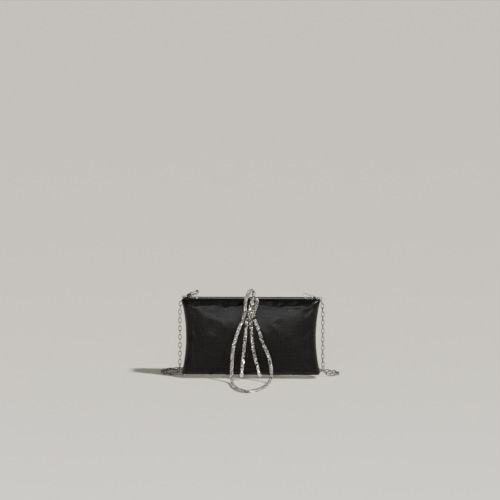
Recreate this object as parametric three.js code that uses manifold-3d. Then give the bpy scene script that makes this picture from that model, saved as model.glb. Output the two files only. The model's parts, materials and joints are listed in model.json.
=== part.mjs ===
// Evening bag: a hard-framed satin minaudiere with a kiss-lock clasp, a shoulder chain on two
// lobster claws, and a wrist loop of rhinestone rope tied in a bow on the front panel.
//
// Frame: millimetres, +X to the right, -Y towards the viewer, +Z up. The origin is at the middle
// of the bottom rail, on the surface that the closed bag stands on. The two halves are mirror
// images about the parting plane y = 0, and "depth" is the distance from that plane.

import * as THREE from 'three';
import { mergeVertices } from 'three/addons/utils/BufferGeometryUtils.js';
import Module from 'manifold-3d';

const wasm = await Module();
wasm.setup();

// ---- Driving dimensions -------------------------------------------------------------------

const FRAME_WIDTH = 197;
const FRAME_HEIGHT = 115;
const FRAME_DEPTH = 6; // depth of one hoop, from the parting plane to its flange
const FRAME_RADIUS = 8;
const BAND_THICKNESS = 1;
const FLANGE_THICKNESS = 0.8;
const PARTING_GAP = 0.15; // each hoop's distance from the parting plane
const SEAT = 0.3; // clearance where one piece rests on another

const PANEL_OVERHANG = 2.3; // how far the satin's corners reach past the frame
const PANEL_WAIST = 0.07; // how far its sides draw in at half height, as a share of the width
const PANEL_LOW = 4.5;
const PANEL_TOP_RISE = 0.6; // the satin's top edge above the top rail
const PANEL_RADIUS = 5;
const PANEL_TUCK = 1.6; // how far the satin turns in at the flange
const PANEL_SWELL_DEPTH = 9; // depth at which the panel is widest
const SHOULDER_INSET = 14;
const SHOULDER_DEPTH = 21.5;
const PANEL_CROWN = 4.1; // rise of the middle of the panel above its shoulder
const PANEL_FLAT = 7.5; // half height of the flat middle of the panel

const SATIN_THICKNESS = 0.6;
const PADDING_THICKNESS = 3.6;
const SHELL_THICKNESS = 1.2;
const LINING_THICKNESS = 0.8;
const LAYER_GAP = 0.2;
const LINING_INSET = 9; // lining tray's wall inside the panel's edge
const LIP_DEPTH = 0.9; // depth of the lining's turned lip
const POCKET = { width: 96, height: 50, low: 21, depth: 14.2, thickness: 0.7 };

const HINGE_AXIS_HEIGHT = 1.6;
const KNUCKLE_RADIUS = 1.5;
const KNUCKLE_LENGTH = 34;
const KNUCKLE_COUNT = 5;
const KNUCKLE_GAP = 0.3;
const HINGE_PIN_RADIUS = 0.7;
const HINGE_PIN_CLEARANCE = 0.08;
const LEAF_THICKNESS = 0.7;
const LEAF_REACH = 5;
const HINGE_CLEARANCE = 0.3;

const GUSSET = { low: 8, high: 70, thickness: 0.4, foldShare: 0.38 };

const POST_DEPTH = 3.4; // depth of every post on the top rail
const POST_STEM_RADIUS = 1;
const POST_FLANGE_RADIUS = 2.2;
const POST_HEAD_RADIUS = 1.4;
const POST_HOLE_CLEARANCE = 0.12;
const CLASP_BALL_RADIUS = 3.2;
const CLASP_BALL_RISE = 5.7; // ball centre above the top rail
const CLASP_SPACING = 7.2; // between the two ball centres

const CHAIN_POST_INSET = 20; // chain post inside the frame's side
const EYE_RISE = 6.2; // eye centre above the top rail
const EYE_RADIUS = 2.6; // centreline of the eye's wire
const EYE_WIRE = 0.7;

const CLAW_THICKNESS = 2.2;
const CLAW_OUTER = 3;
const CLAW_INNER = 1.6;
const CLAW_BODY_START = 9;
const CLAW_LENGTH = 15.5;
const CLAW_NECK = 1.3;
const CLAW_SLOT = 1.2;
const CLAW_HOOK_TIP = 1.2;
const TRIGGER_THICKNESS = 0.9;
const TRIGGER_PIVOT = { along: 11.2, across: -1.1 };
const TRIGGER_BOSS = 1.3;
const SPRING_GAP = 0.12; // between the trigger's boss and its spring, and round the spring
const SPRING_THICKNESS = 0.3;
const CLAW_PIN_RADIUS = 0.5;
const CLAW_PIN_CLEARANCE = 0.06;
const SWIVEL_STEM_RADIUS = 0.5;
const SWIVEL_RING_RADIUS = 2.35;
const SWIVEL_WIRE = 0.65;
const SWIVEL_RING_REACH = 4.9; // ring centre beyond the end of the claw

const CHAIN_DIAMETER = 5.4;
const ROPE_DIAMETER = 5;
const HANK = { straight: 70, radius: 13.5, layers: 3, layerRise: 5, x: 0, y: 46, lift: 0.85 };
const TIE = { width: 5, thickness: 0.5 };

const KNOT = { x: 1.2, y: -29.5, z: 95, halfWidth: 6.4, halfDepth: 6, halfHeight: 4.8 };
const CAP_RADIUS = 2.75;
const CAP_LENGTH = 13;

// ---- Materials ----------------------------------------------------------------------------

const finish = (color, roughness, metalness) => ({ color, roughness, metalness });
const CHROME = finish(0xd8d8d6, 0.12, 1);
const SATIN = finish(0x0c0c0d, 0.42, 0);
const FOAM = finish(0xd9d3c4, 0.95, 0);
const BOARD = finish(0x2c2c2e, 0.6, 0);
const LINING = finish(0x161618, 0.7, 0);
const CRYSTAL = finish(0xcfc9c2, 0.25, 0.4);
const RIBBON = finish(0xe8e6e0, 0.7, 0);

const bag = new THREE.Group();

/** Puts a geometry into the bag as a named piece. */
function addPiece(name, geometry, look, matrix = null) {
  const mesh = new THREE.Mesh(geometry, new THREE.MeshStandardMaterial(look));
  mesh.name = name;
  if (matrix) mesh.applyMatrix4(matrix);
  bag.add(mesh);
  return mesh;
}

// ---- Solids: joins and cuts ---------------------------------------------------------------

function toManifold(geometry) {
  const bare = geometry.clone();
  for (const key of Object.keys(bare.attributes)) {
    if (key !== 'position') bare.deleteAttribute(key);
  }
  const merged = mergeVertices(bare, 1e-4);
  return new wasm.Manifold(new wasm.Mesh({
    numProp: 3,
    vertProperties: Float32Array.from(merged.attributes.position.array),
    triVerts: Uint32Array.from(merged.index.array),
  }));
}

function toGeometry(manifold) {
  const mesh = manifold.getMesh();
  const geometry = new THREE.BufferGeometry();
  geometry.setAttribute('position', new THREE.BufferAttribute(mesh.vertProperties, 3));
  geometry.setIndex(new THREE.BufferAttribute(mesh.triVerts, 1));
  return geometry;
}

/** Joins the first list of geometries and cuts the second list out of the result. */
function combine(joined, cuts = []) {
  let solid = toManifold(joined[0]);
  for (const piece of joined.slice(1)) solid = solid.add(toManifold(piece));
  for (const cut of cuts) solid = solid.subtract(toManifold(cut));
  return toGeometry(solid);
}

/** A box from its low corner to its high corner. */
function boxBetween(low, high) {
  const size = high.map((value, axis) => value - low[axis]);
  const centre = high.map((value, axis) => (value + low[axis]) / 2);
  return new THREE.BoxGeometry(...size).translate(...centre);
}

/** A rod from one point to another. */
function rod(from, to, radius, segments = 16) {
  const start = new THREE.Vector3(...from);
  const run = new THREE.Vector3(...to).sub(start);
  const turn = new THREE.Quaternion().setFromUnitVectors(
    new THREE.Vector3(0, 1, 0), run.clone().normalize());
  const middle = start.clone().addScaledVector(run, 0.5);
  return new THREE.CylinderGeometry(radius, radius, run.length(), segments)
    .applyQuaternion(turn).translate(middle.x, middle.y, middle.z);
}

/** A lathe about +Z whose profile is a list of [radius, height] from axis to axis. */
function turned(profile, segments = 16) {
  const points = profile.map(([radius, height]) => new THREE.Vector2(radius, height));
  return new THREE.LatheGeometry(points, segments).rotateX(Math.PI / 2);
}

// ---- Closed skins from nested outlines ----------------------------------------------------

const SIDE_STEPS = 6;
const EDGE_STEPS = 2;
const ARC_STEPS = 3;

/** A rounded rectangle in X and Z whose sides draw in at half height by the waist's share. */
function outline(halfWidth, low, high, radius, waist = 0) {
  const points = [];
  const middle = (low + high) / 2;
  const halfHeight = (high - low) / 2;
  const corner = (x, z, start) => {
    for (let k = 0; k <= ARC_STEPS; k += 1) {
      const angle = start + (Math.PI / 2) * (k / ARC_STEPS);
      points.push([x + radius * Math.cos(angle), z + radius * Math.sin(angle)]);
    }
  };
  const between = (from, to, steps) => {
    for (let k = 1; k < steps; k += 1) {
      points.push(from.map((value, axis) => value + (to[axis] - value) * (k / steps)));
    }
  };
  const right = halfWidth - radius;
  corner(right, low + radius, -Math.PI / 2);
  between([halfWidth, low + radius], [halfWidth, high - radius], SIDE_STEPS);
  corner(right, high - radius, 0);
  between([right, high], [-right, high], EDGE_STEPS);
  corner(-right, high - radius, Math.PI / 2);
  between([-halfWidth, high - radius], [-halfWidth, low + radius], SIDE_STEPS);
  corner(-right, low + radius, Math.PI);
  between([-right, low], [right, low], EDGE_STEPS);
  return points.map(([x, z]) => [x * (1 - waist * (1 - ((z - middle) / halfHeight) ** 2)), z]);
}

const PANEL_HALF_WIDTH = FRAME_WIDTH / 2 + PANEL_OVERHANG;
const CHAIN_POST_X = FRAME_WIDTH / 2 - CHAIN_POST_INSET;
const PANEL_HIGH = FRAME_HEIGHT + PANEL_TOP_RISE;
const PANEL_HALF_HEIGHT = (PANEL_HIGH - PANEL_LOW) / 2;

/** The panel's drawn-in outline, moved inwards by an inset. */
const panelOutline = (inset) => outline(
  PANEL_HALF_WIDTH - inset, PANEL_LOW + inset, PANEL_HIGH - inset, PANEL_RADIUS, PANEL_WAIST);

/** The frame's outline, moved inwards by an inset; its low edge can be lifted on its own. */
const frameOutline = (inset, low = inset) => outline(
  FRAME_WIDTH / 2 - inset, low, FRAME_HEIGHT - inset, FRAME_RADIUS - inset);

/** Gives each outline point its depth: a ring of a skin on the front (-1) or rear (+1) half. */
const ring = (points, depth, side) => points.map(([x, z]) => [x, side * depth, z]);

/**
 * A closed solid through rings of equal length. Capped ends make a dished sheet; without caps
 * the last ring joins the first, which makes a hoop.
 */
function loftSolid(rings, capped) {
  const count = rings[0].length;
  const positions = rings.flat(2);
  const index = [];
  const last = capped ? rings.length - 1 : rings.length;
  for (let r = 0; r < last; r += 1) {
    const next = (r + 1) % rings.length;
    for (let k = 0; k < count; k += 1) {
      const j = (k + 1) % count;
      const corners = [r * count + k, next * count + k, next * count + j, r * count + j];
      index.push(corners[0], corners[1], corners[2], corners[0], corners[2], corners[3]);
    }
  }
  if (capped) {
    for (const [r, flip] of [[0, false], [rings.length - 1, true]]) {
      const centre = positions.length / 3;
      const sum = rings[r].reduce((total, point) => total.map((v, i) => v + point[i]), [0, 0, 0]);
      positions.push(...sum.map((value) => value / count));
      for (let k = 0; k < count; k += 1) {
        const pair = [r * count + k, r * count + ((k + 1) % count)];
        index.push(centre, ...(flip ? pair.reverse() : pair));
      }
    }
  }
  const geometry = new THREE.BufferGeometry();
  geometry.setAttribute('position', new THREE.Float32BufferAttribute(positions, 3));
  geometry.setIndex(index);
  return faceOutwards(geometry);
}

/** Turns every face round when a closed geometry's faces point inwards. */
function faceOutwards(geometry) {
  const position = geometry.attributes.position;
  const index = geometry.index.array;
  const [a, b, c] = [new THREE.Vector3(), new THREE.Vector3(), new THREE.Vector3()];
  let volume = 0;
  for (let k = 0; k < index.length; k += 3) {
    a.fromBufferAttribute(position, index[k]);
    b.fromBufferAttribute(position, index[k + 1]);
    c.fromBufferAttribute(position, index[k + 2]);
    volume += a.dot(b.cross(c));
  }
  if (volume < 0) {
    for (let k = 0; k < index.length; k += 3) {
      [index[k + 1], index[k + 2]] = [index[k + 2], index[k + 1]];
    }
  }
  return geometry;
}

// ---- Panels: satin, padding, shell and lining ---------------------------------------------

const SHOULDER_STEPS = 4;
const CROWN_STEPS = 2;

/**
 * The panel's section as [inset, depth] pairs: a quarter ellipse round the shoulder, then a
 * parabola over the crown. An offset moves it inwards, as for the next layer down.
 */
function panelSection(offset, startAngle = 0) {
  const across = SHOULDER_INSET - offset;
  const out = SHOULDER_DEPTH - PANEL_SWELL_DEPTH - offset;
  const section = [];
  for (let k = 0; k <= SHOULDER_STEPS; k += 1) {
    const angle = startAngle + (Math.PI / 2 - startAngle) * (k / SHOULDER_STEPS);
    section.push([
      SHOULDER_INSET - across * Math.cos(angle),
      PANEL_SWELL_DEPTH + out * Math.sin(angle),
    ]);
  }
  const [inset, depth] = section.at(-1);
  const flatInset = PANEL_HALF_HEIGHT - PANEL_FLAT;
  for (let k = 1; k <= CROWN_STEPS; k += 1) {
    const share = k / CROWN_STEPS;
    section.push([
      inset + (flatInset - inset) * share,
      depth + PANEL_CROWN * (1 - (1 - share) ** 2),
    ]);
  }
  return section;
}

/** One layer of a panel, from its outer face at an offset to its inner face. */
function panelLayer(side, offset, thickness) {
  const rim = FRAME_DEPTH + SEAT;
  const face = (depthOffset) => [[PANEL_TUCK + depthOffset, rim], ...panelSection(depthOffset)]
    .map(([inset, depth]) => ring(panelOutline(inset), depth, side));
  return loftSolid([...face(offset + thickness).reverse(), ...face(offset)], true);
}

const PADDING_OFFSET = SATIN_THICKNESS + LAYER_GAP;
const SHELL_OFFSET = PADDING_OFFSET + PADDING_THICKNESS + LAYER_GAP;
const LINING_OFFSET = SHELL_OFFSET + SHELL_THICKNESS + SEAT;
const LIP_LOW = HINGE_AXIS_HEIGHT + KNUCKLE_RADIUS + HINGE_CLEARANCE + 0.2;

/** The fabric-covered tray inside a half, with a lip turned out over the band's inner side. */
function liningTray(side) {
  const wall = (offset, inset, depth) => {
    const start = Math.acos((SHOULDER_INSET - inset) / (SHOULDER_INSET - offset));
    return [[inset, depth], ...panelSection(offset, start)]
      .map(([d, t]) => ring(panelOutline(d), t, side));
  };
  const lip = frameOutline(BAND_THICKNESS + SEAT, LIP_LOW);
  const inner = wall(LINING_OFFSET + LINING_THICKNESS, LINING_INSET + LINING_THICKNESS, LIP_DEPTH);
  const outer = wall(LINING_OFFSET, LINING_INSET, LIP_DEPTH + LINING_THICKNESS);
  return loftSolid([
    ...inner.reverse(),
    ring(lip, LIP_DEPTH, side),
    ring(lip, LIP_DEPTH + LINING_THICKNESS, side),
    ...outer,
  ], true);
}

/** The chromed hoop of one half: a band with a flange that the panel is fixed to. */
function hoop(side, holes) {
  const flangeFace = FRAME_DEPTH - FLANGE_THICKNESS;
  const opening = panelOutline(LINING_INSET - SEAT);
  const body = loftSolid([
    ring(frameOutline(0), PARTING_GAP, side),
    ring(frameOutline(0), FRAME_DEPTH, side),
    ring(opening, FRAME_DEPTH, side),
    ring(opening, flangeFace, side),
    ring(frameOutline(BAND_THICKNESS), flangeFace, side),
    ring(frameOutline(BAND_THICKNESS), PARTING_GAP, side),
  ], false);
  const reach = KNUCKLE_RADIUS + HINGE_CLEARANCE + 0.4;
  const hingeCut = boxBetween(
    [-FRAME_WIDTH, -reach, -1],
    [FRAME_WIDTH, reach, HINGE_AXIS_HEIGHT + KNUCKLE_RADIUS + HINGE_CLEARANCE]);
  const holeCuts = holes.map((x) => rod(
    [x, side * POST_DEPTH, FRAME_HEIGHT - 2 * BAND_THICKNESS],
    [x, side * POST_DEPTH, FRAME_HEIGHT + BAND_THICKNESS],
    POST_STEM_RADIUS + POST_HOLE_CLEARANCE));
  return combine([body], [hingeCut, ...holeCuts]);
}

/** A slip pocket sewn to the rear lining: a flat sheet, open along its top edge. */
function slipPocket() {
  const { width, height, low, depth, thickness } = POCKET;
  return boxBetween([-width / 2, depth, low], [width / 2, depth + thickness, low + height]);
}

// ---- Hinge along the bottom rail ----------------------------------------------------------

const KNUCKLE_PITCH = KNUCKLE_LENGTH + KNUCKLE_GAP;
const HINGE_LENGTH = KNUCKLE_COUNT * KNUCKLE_PITCH - KNUCKLE_GAP;

/** One leaf with its knuckles: the front leaf takes the even ones and the rear the odd ones. */
function hingeLeaf(side) {
  const axis = HINGE_AXIS_HEIGHT;
  const leafLow = BAND_THICKNESS + POST_HOLE_CLEARANCE;
  const leafHigh = leafLow + LEAF_THICKNESS;
  const depthBox = (x0, x1, near, far) => boxBetween(
    [x0, Math.min(side * near, side * far), leafLow],
    [x1, Math.max(side * near, side * far), leafHigh]);
  const clear = KNUCKLE_RADIUS + HINGE_CLEARANCE;
  const joined = [depthBox(-HINGE_LENGTH / 2, HINGE_LENGTH / 2, clear, LEAF_REACH)];
  for (let k = side < 0 ? 0 : 1; k < KNUCKLE_COUNT; k += 2) {
    const start = -HINGE_LENGTH / 2 + k * KNUCKLE_PITCH;
    const end = start + KNUCKLE_LENGTH;
    joined.push(rod([start, 0, axis], [end, 0, axis], KNUCKLE_RADIUS));
    joined.push(depthBox(start, end, KNUCKLE_RADIUS - 0.5, clear + 0.1));
  }
  const bore = rod([-HINGE_LENGTH, 0, axis], [HINGE_LENGTH, 0, axis],
    HINGE_PIN_RADIUS + HINGE_PIN_CLEARANCE);
  return combine(joined, [bore]);
}

function hingePin() {
  const half = HINGE_LENGTH / 2 + 0.4;
  return rod([-half, 0, HINGE_AXIS_HEIGHT], [half, 0, HINGE_AXIS_HEIGHT], HINGE_PIN_RADIUS);
}

/** A side gusset: one strip of fabric folded in two, wider towards its top, in the parting. */
function gusset(side) {
  const edge = FRAME_WIDTH / 2 - BAND_THICKNESS - 2 * SEAT;
  const outer = LIP_DEPTH - LAYER_GAP;
  const section = (z) => {
    const fold = side * (edge - GUSSET.foldShare * (z - HINGE_AXIS_HEIGHT));
    const slit = fold + side * 0.6;
    const inner = outer - GUSSET.thickness;
    return [
      [side * edge, -outer, z], [side * edge, -inner, z], [slit, -inner / 4, z],
      [slit, inner / 4, z], [side * edge, inner, z], [side * edge, outer, z],
      [fold, outer, z], [fold, -outer, z],
    ];
  };
  return cappedPrism(section(GUSSET.low), section(GUSSET.high));
}

/** A solid between two matching outlines, with its end faces cut into triangles. */
function cappedPrism(low, high) {
  const count = low.length;
  const flat = low.map(([x, y]) => new THREE.Vector2(x, y));
  if (THREE.ShapeUtils.isClockWise(flat)) {
    return cappedPrism([...low].reverse(), [...high].reverse());
  }
  const faces = THREE.ShapeUtils.triangulateShape(flat, []);
  const index = [];
  for (let k = 0; k < count; k += 1) {
    const j = (k + 1) % count;
    index.push(k, j, count + j, k, count + j, count + k);
  }
  for (const [a, b, c] of faces) index.push(c, b, a, count + a, count + b, count + c);
  const geometry = new THREE.BufferGeometry();
  geometry.setAttribute('position', new THREE.Float32BufferAttribute([...low, ...high].flat(), 3));
  geometry.setIndex(index);
  return faceOutwards(geometry);
}

// ---- Posts on the top rail ----------------------------------------------------------------

/** The riveted foot of a post: head under the band, shank through it, flange on top. */
function postFoot(x, y) {
  const under = FRAME_HEIGHT - BAND_THICKNESS - POST_HOLE_CLEARANCE;
  const over = FRAME_HEIGHT + POST_HOLE_CLEARANCE;
  return turned([
    [0, under - 0.7], [POST_HEAD_RADIUS, under - 0.7], [POST_HEAD_RADIUS, under],
    [POST_STEM_RADIUS, under], [POST_STEM_RADIUS, over], [POST_FLANGE_RADIUS, over],
    [POST_FLANGE_RADIUS, over + 0.5], [POST_STEM_RADIUS, over + 0.9], [0, over + 0.9],
  ]).translate(x, y, 0);
}

/** One kiss-lock post, leaning over the parting so that its ball stands beside the other. */
function claspPost(side) {
  const x = side * (CLASP_SPACING / 2);
  const y = side * POST_DEPTH;
  const ballHeight = FRAME_HEIGHT + CLASP_BALL_RISE;
  const ball = new THREE.SphereGeometry(CLASP_BALL_RADIUS, 16, 10)
    .rotateX(Math.PI / 2).translate(x, 0, ballHeight);
  const neck = rod([x, y, FRAME_HEIGHT + 0.6], [x, side * 0.6, ballHeight], POST_STEM_RADIUS, 12);
  return combine([postFoot(x, y), neck, ball]);
}

/** One chain post: a riveted foot, a stem and a closed eye, turned about its stem by a yaw. */
function chainPost(x, yaw) {
  const eyeHeight = FRAME_HEIGHT + EYE_RISE;
  const eye = new THREE.TorusGeometry(EYE_RADIUS, EYE_WIRE, 8, 20)
    .rotateX(Math.PI / 2).rotateZ(yaw).translate(x, POST_DEPTH, eyeHeight);
  const stemTop = eyeHeight - EYE_RADIUS;
  const stem = rod([x, POST_DEPTH, FRAME_HEIGHT + 0.6], [x, POST_DEPTH, stemTop],
    POST_STEM_RADIUS, 12);
  return combine([postFoot(x, POST_DEPTH), stem, eye]);
}

// ---- Lobster claws ------------------------------------------------------------------------
// A claw is drawn flat: "along" runs from the middle of its hook to its swivel, "across" from
// the trigger to the fixed jaw, and its thickness is along the normal.

/** Extrudes a flat outline, centred on the claw's middle plane. */
function plate(shape, thickness) {
  const geometry = new THREE.ExtrudeGeometry(shape, {
    depth: thickness, bevelEnabled: false, curveSegments: 10,
  });
  return geometry.translate(0, 0, -thickness / 2);
}

function clawBody() {
  const shape = new THREE.Shape();
  shape.moveTo(CLAW_HOOK_TIP, -CLAW_OUTER);
  shape.lineTo(0, -CLAW_OUTER);
  shape.absarc(0, 0, CLAW_OUTER, -Math.PI / 2, Math.PI / 2, true);
  shape.lineTo(CLAW_LENGTH - 3, CLAW_OUTER);
  shape.lineTo(CLAW_LENGTH, CLAW_NECK);
  shape.lineTo(CLAW_LENGTH, -CLAW_NECK);
  shape.lineTo(CLAW_LENGTH - 2, 0.4 - CLAW_OUTER);
  shape.lineTo(CLAW_BODY_START, 0.4 - CLAW_OUTER);
  shape.lineTo(CLAW_BODY_START, CLAW_INNER - 0.8);
  shape.lineTo(CLAW_BODY_START - 0.8, CLAW_INNER);
  shape.lineTo(0, CLAW_INNER);
  shape.absarc(0, 0, CLAW_INNER, Math.PI / 2, -Math.PI / 2, false);
  shape.lineTo(CLAW_HOOK_TIP, -CLAW_INNER);
  shape.closePath();
  const { along, across } = TRIGGER_PIVOT;
  const springLow = across + TRIGGER_BOSS + SPRING_GAP;
  const slot = boxBetween(
    [CLAW_BODY_START - 0.2, -CLAW_OUTER - 0.5, -CLAW_SLOT / 2],
    [along + TRIGGER_BOSS + 0.6, springLow + SPRING_THICKNESS + SPRING_GAP, CLAW_SLOT / 2]);
  const pinHole = rod([along, across, -CLAW_THICKNESS], [along, across, CLAW_THICKNESS],
    CLAW_PIN_RADIUS + CLAW_PIN_CLEARANCE, 12);
  const swivelBore = rod([CLAW_LENGTH - 2, 0, 0], [CLAW_LENGTH + 1, 0, 0],
    SWIVEL_STEM_RADIUS + POST_HOLE_CLEARANCE, 12);
  return combine([plate(shape, CLAW_THICKNESS)], [slot, pinHole, swivelBore]);
}

function clawTrigger() {
  const { along, across } = TRIGGER_PIVOT;
  const tip = CLAW_HOOK_TIP + 0.4;
  const outer = -CLAW_OUTER + 0.2;
  const inner = -CLAW_INNER - 0.1;
  const shape = new THREE.Shape();
  shape.moveTo(tip, outer);
  shape.lineTo(along - 5, outer);
  shape.lineTo(along - 3.6, outer - 1.6);
  shape.lineTo(along - 2.4, outer - 1.4);
  shape.lineTo(along - 1.8, outer);
  shape.lineTo(along, across - TRIGGER_BOSS);
  shape.absarc(along, across, TRIGGER_BOSS, -Math.PI / 2, Math.PI / 2 + 0.5, false);
  shape.lineTo(along - 2.4, inner);
  shape.lineTo(tip, inner);
  shape.closePath();
  const hole = rod([along, across, -2], [along, across, 2],
    CLAW_PIN_RADIUS + CLAW_PIN_CLEARANCE, 12);
  return combine([plate(shape, TRIGGER_THICKNESS)], [hole]);
}

function clawPin() {
  const { along, across } = TRIGGER_PIVOT;
  const half = CLAW_THICKNESS / 2;
  return rod([along, across, -half], [along, across, half], CLAW_PIN_RADIUS, 12);
}

function clawSpring() {
  const { along, across } = TRIGGER_PIVOT;
  const low = across + TRIGGER_BOSS + SPRING_GAP;
  return boxBetween([along - 1.9, low, -0.4], [along + 1.4, low + SPRING_THICKNESS, 0.4]);
}

/** The swivel: a stem in the claw's neck, a collar and a ring that takes the chain. */
function swivel() {
  const collar = CLAW_LENGTH + SEAT;
  const ringCentre = CLAW_LENGTH + SWIVEL_RING_REACH;
  const loop = new THREE.TorusGeometry(SWIVEL_RING_RADIUS, SWIVEL_WIRE, 8, 20)
    .rotateX(Math.PI / 2).translate(ringCentre, 0, 0);
  return combine([
    rod([CLAW_LENGTH - 1.6, 0, 0], [collar + 0.4, 0, 0], SWIVEL_STEM_RADIUS, 12),
    rod([collar, 0, 0], [collar + 1.3, 0, 0], 1.6),
    rod([collar + 0.6, 0, 0], [ringCentre - SWIVEL_RING_RADIUS + 0.2, 0, 0], 0.8, 12),
    loop,
  ]);
}

/**
 * How a claw hangs on its eye: side is +1 on the right, slope its fall from level, tilt its
 * turn about its own length, hookAngle the place round its hook that passes through the eye,
 * and slide how far past the end of that curve it passes.
 */
const CLAWS = {
  left: { side: -1, slope: 22, tilt: 50, hookAngle: 90, slide: 0.5, eyeYaw: 90, swivelTurn: 90 },
  right: { side: 1, slope: 20, tilt: 90, hookAngle: 0, slide: 0, eyeYaw: 0, swivelTurn: 0 },
};

function clawMatrix({ side, slope, tilt, hookAngle, slide }) {
  const [s, t, h] = [slope, tilt, hookAngle].map(THREE.MathUtils.degToRad);
  const along = new THREE.Vector3(side * Math.cos(s), 0, -Math.sin(s));
  const up = new THREE.Vector3(side * Math.sin(s), 0, Math.cos(s));
  const across = up.multiplyScalar(-Math.cos(t)).addScaledVector(
    new THREE.Vector3(0, 1, 0), -Math.sin(t));
  const normal = along.clone().cross(across);
  const band = (CLAW_OUTER + CLAW_INNER) / 2;
  const origin = new THREE.Vector3(side * CHAIN_POST_X, POST_DEPTH, FRAME_HEIGHT + EYE_RISE)
    .addScaledVector(along, band * Math.cos(h) - slide)
    .addScaledVector(across, -band * Math.sin(h));
  return new THREE.Matrix4().makeBasis(along, across, normal).setPosition(origin);
}

function addClaw(name, settings) {
  const matrix = clawMatrix(settings);
  const turn = new THREE.Matrix4().makeRotationX(THREE.MathUtils.degToRad(settings.swivelTurn));
  addPiece(`${name}_claw_body`, clawBody(), CHROME, matrix);
  addPiece(`${name}_claw_trigger`, clawTrigger(), CHROME, matrix);
  addPiece(`${name}_claw_pin`, clawPin(), CHROME, matrix);
  addPiece(`${name}_claw_spring`, clawSpring(), CHROME, matrix);
  addPiece(`${name}_swivel`, swivel(), CHROME, matrix.clone().multiply(turn));
}

// ---- Cords: shoulder chain and rhinestone rope --------------------------------------------

/** A tube of a given diameter through hand-placed points. */
function tube(points, diameter, steps) {
  const path = new THREE.CatmullRomCurve3(points.map((p) => new THREE.Vector3(...p)));
  const section = new THREE.Shape();
  for (let k = 0; k < 8; k += 1) {
    const angle = ((k + 0.5) / 8) * 2 * Math.PI;
    const corner = [Math.cos(angle) * diameter / 2, Math.sin(angle) * diameter / 2];
    if (k === 0) section.moveTo(...corner);
    else section.lineTo(...corner);
  }
  section.closePath();
  return new THREE.ExtrudeGeometry(section, { steps, bevelEnabled: false, extrudePath: path });
}

const CHAIN_FLOOR = CHAIN_DIAMETER / 2 + 0.05;
const ROPE_FLOOR = ROPE_DIAMETER / 2 + 0.05;

const CHAIN_LEFT = [
  [-101.3, 5.4, 110.1], [-102.9, 5.5, 101], [-103.3, 5.8, 80], [-103.3, 6, 45], [-103.6, 6.2, 20],
  [-105.2, 7, 8.4], [-111, 8.2, 3.6], [-119, 11, CHAIN_FLOOR], [-127.6, 18, CHAIN_FLOOR],
  [-131.4, 29, CHAIN_FLOOR], [-129, 41, CHAIN_FLOOR], [-119, 50.5, CHAIN_FLOOR],
  [-102, 56, CHAIN_FLOOR], [-78, 58.8, CHAIN_FLOOR], [-48, 59.5, 3.5],
];

const CHAIN_RIGHT = [
  [101.6, 3.7, 109.4], [102.9, 4.4, 101], [103.3, 5.2, 80], [103.3, 5.4, 45], [103.6, 5.4, 20],
  [105, 5.2, 8.8], [110, 5.8, 3.9], [117, 8, CHAIN_FLOOR], [123.6, 14, CHAIN_FLOOR],
  [125.6, 22.5, CHAIN_FLOOR], [121.5, 32, CHAIN_FLOOR], [110, 40.5, CHAIN_FLOOR],
  [92, 48, CHAIN_FLOOR], [72, 55, 5], [48, 59.5, 13.2],
];

const WRIST_LOOP = [
  [-8.5, -31.3, 96.2], [-10.3, -31.9, 88.7], [-15.7, -33.6, 76.5], [-21.2, -36.2, 60],
  [-24.6, -39.6, 45], [-26, -44.5, 28], [-25.8, -52, 11], [-24.9, -65, 3.8],
  [-22.8, -84, ROPE_FLOOR], [-17.6, -108, ROPE_FLOOR], [-10, -128, ROPE_FLOOR],
  [0.5, -138, ROPE_FLOOR], [11, -128, ROPE_FLOOR], [18.6, -110, ROPE_FLOOR],
  [24.4, -88, ROPE_FLOOR], [27.6, -68, 3.8], [30.6, -53, 11], [29.6, -46, 24], [25, -40.5, 40],
  [18.7, -37.3, 53], [12, -35, 74], [5.4, -33.4, 89.1],
];

const TALL_EAR = [
  [-8.4, -31.2, 96.6], [-7.2, -30.8, 102], [-7.2, -30.4, 109], [-6.2, -30.2, 117],
  [-3.9, -29.9, 124], [-1.4, -29.8, 128.6], [2, -29.8, 130.2], [4.8, -29.9, 127.2],
  [4.6, -30.4, 121], [1.8, -31.2, 112.5], [-0.4, -32, 105], [-0.7, -32, 100.8],
];

const SHORT_EAR = [
  [1.8, -26.4, 100.7], [2.8, -25.6, 107], [5, -25.2, 114], [8, -27, 118], [9.8, -30, 114.6],
  [8.6, -31.4, 107.5], [5.8, -31.2, 101],
];

const LEFT_TAIL = [
  [-5, -27.8, 89.8], [-6.3, -28.6, 76], [-8.1, -29.1, 56], [-10.4, -29.5, 34],
  [-11.8, -29.9, 17.6],
];

const RIGHT_TAIL = [
  [0.2, -26.9, 89.8], [1, -28.5, 76], [2.8, -29.1, 56], [6.4, -29.5, 34], [10.8, -29.9, 18],
];

/** A metal cap on the end of a tail, carrying on in the tail's direction. */
function tailCap(points) {
  const end = new THREE.Vector3(...points.at(-1));
  const run = end.clone().sub(new THREE.Vector3(...points.at(-2))).normalize();
  const dome = CAP_RADIUS * 0.6;
  const profile = [[0, 0], [CAP_RADIUS, 0], [CAP_RADIUS, CAP_LENGTH - dome],
    [CAP_RADIUS * 0.75, CAP_LENGTH - dome * 0.3], [0, CAP_LENGTH]];
  const turn = new THREE.Quaternion().setFromUnitVectors(new THREE.Vector3(0, 0, 1), run);
  const start = end.addScaledVector(run, SEAT);
  return turned(profile).applyQuaternion(turn).translate(start.x, start.y, start.z);
}

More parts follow.
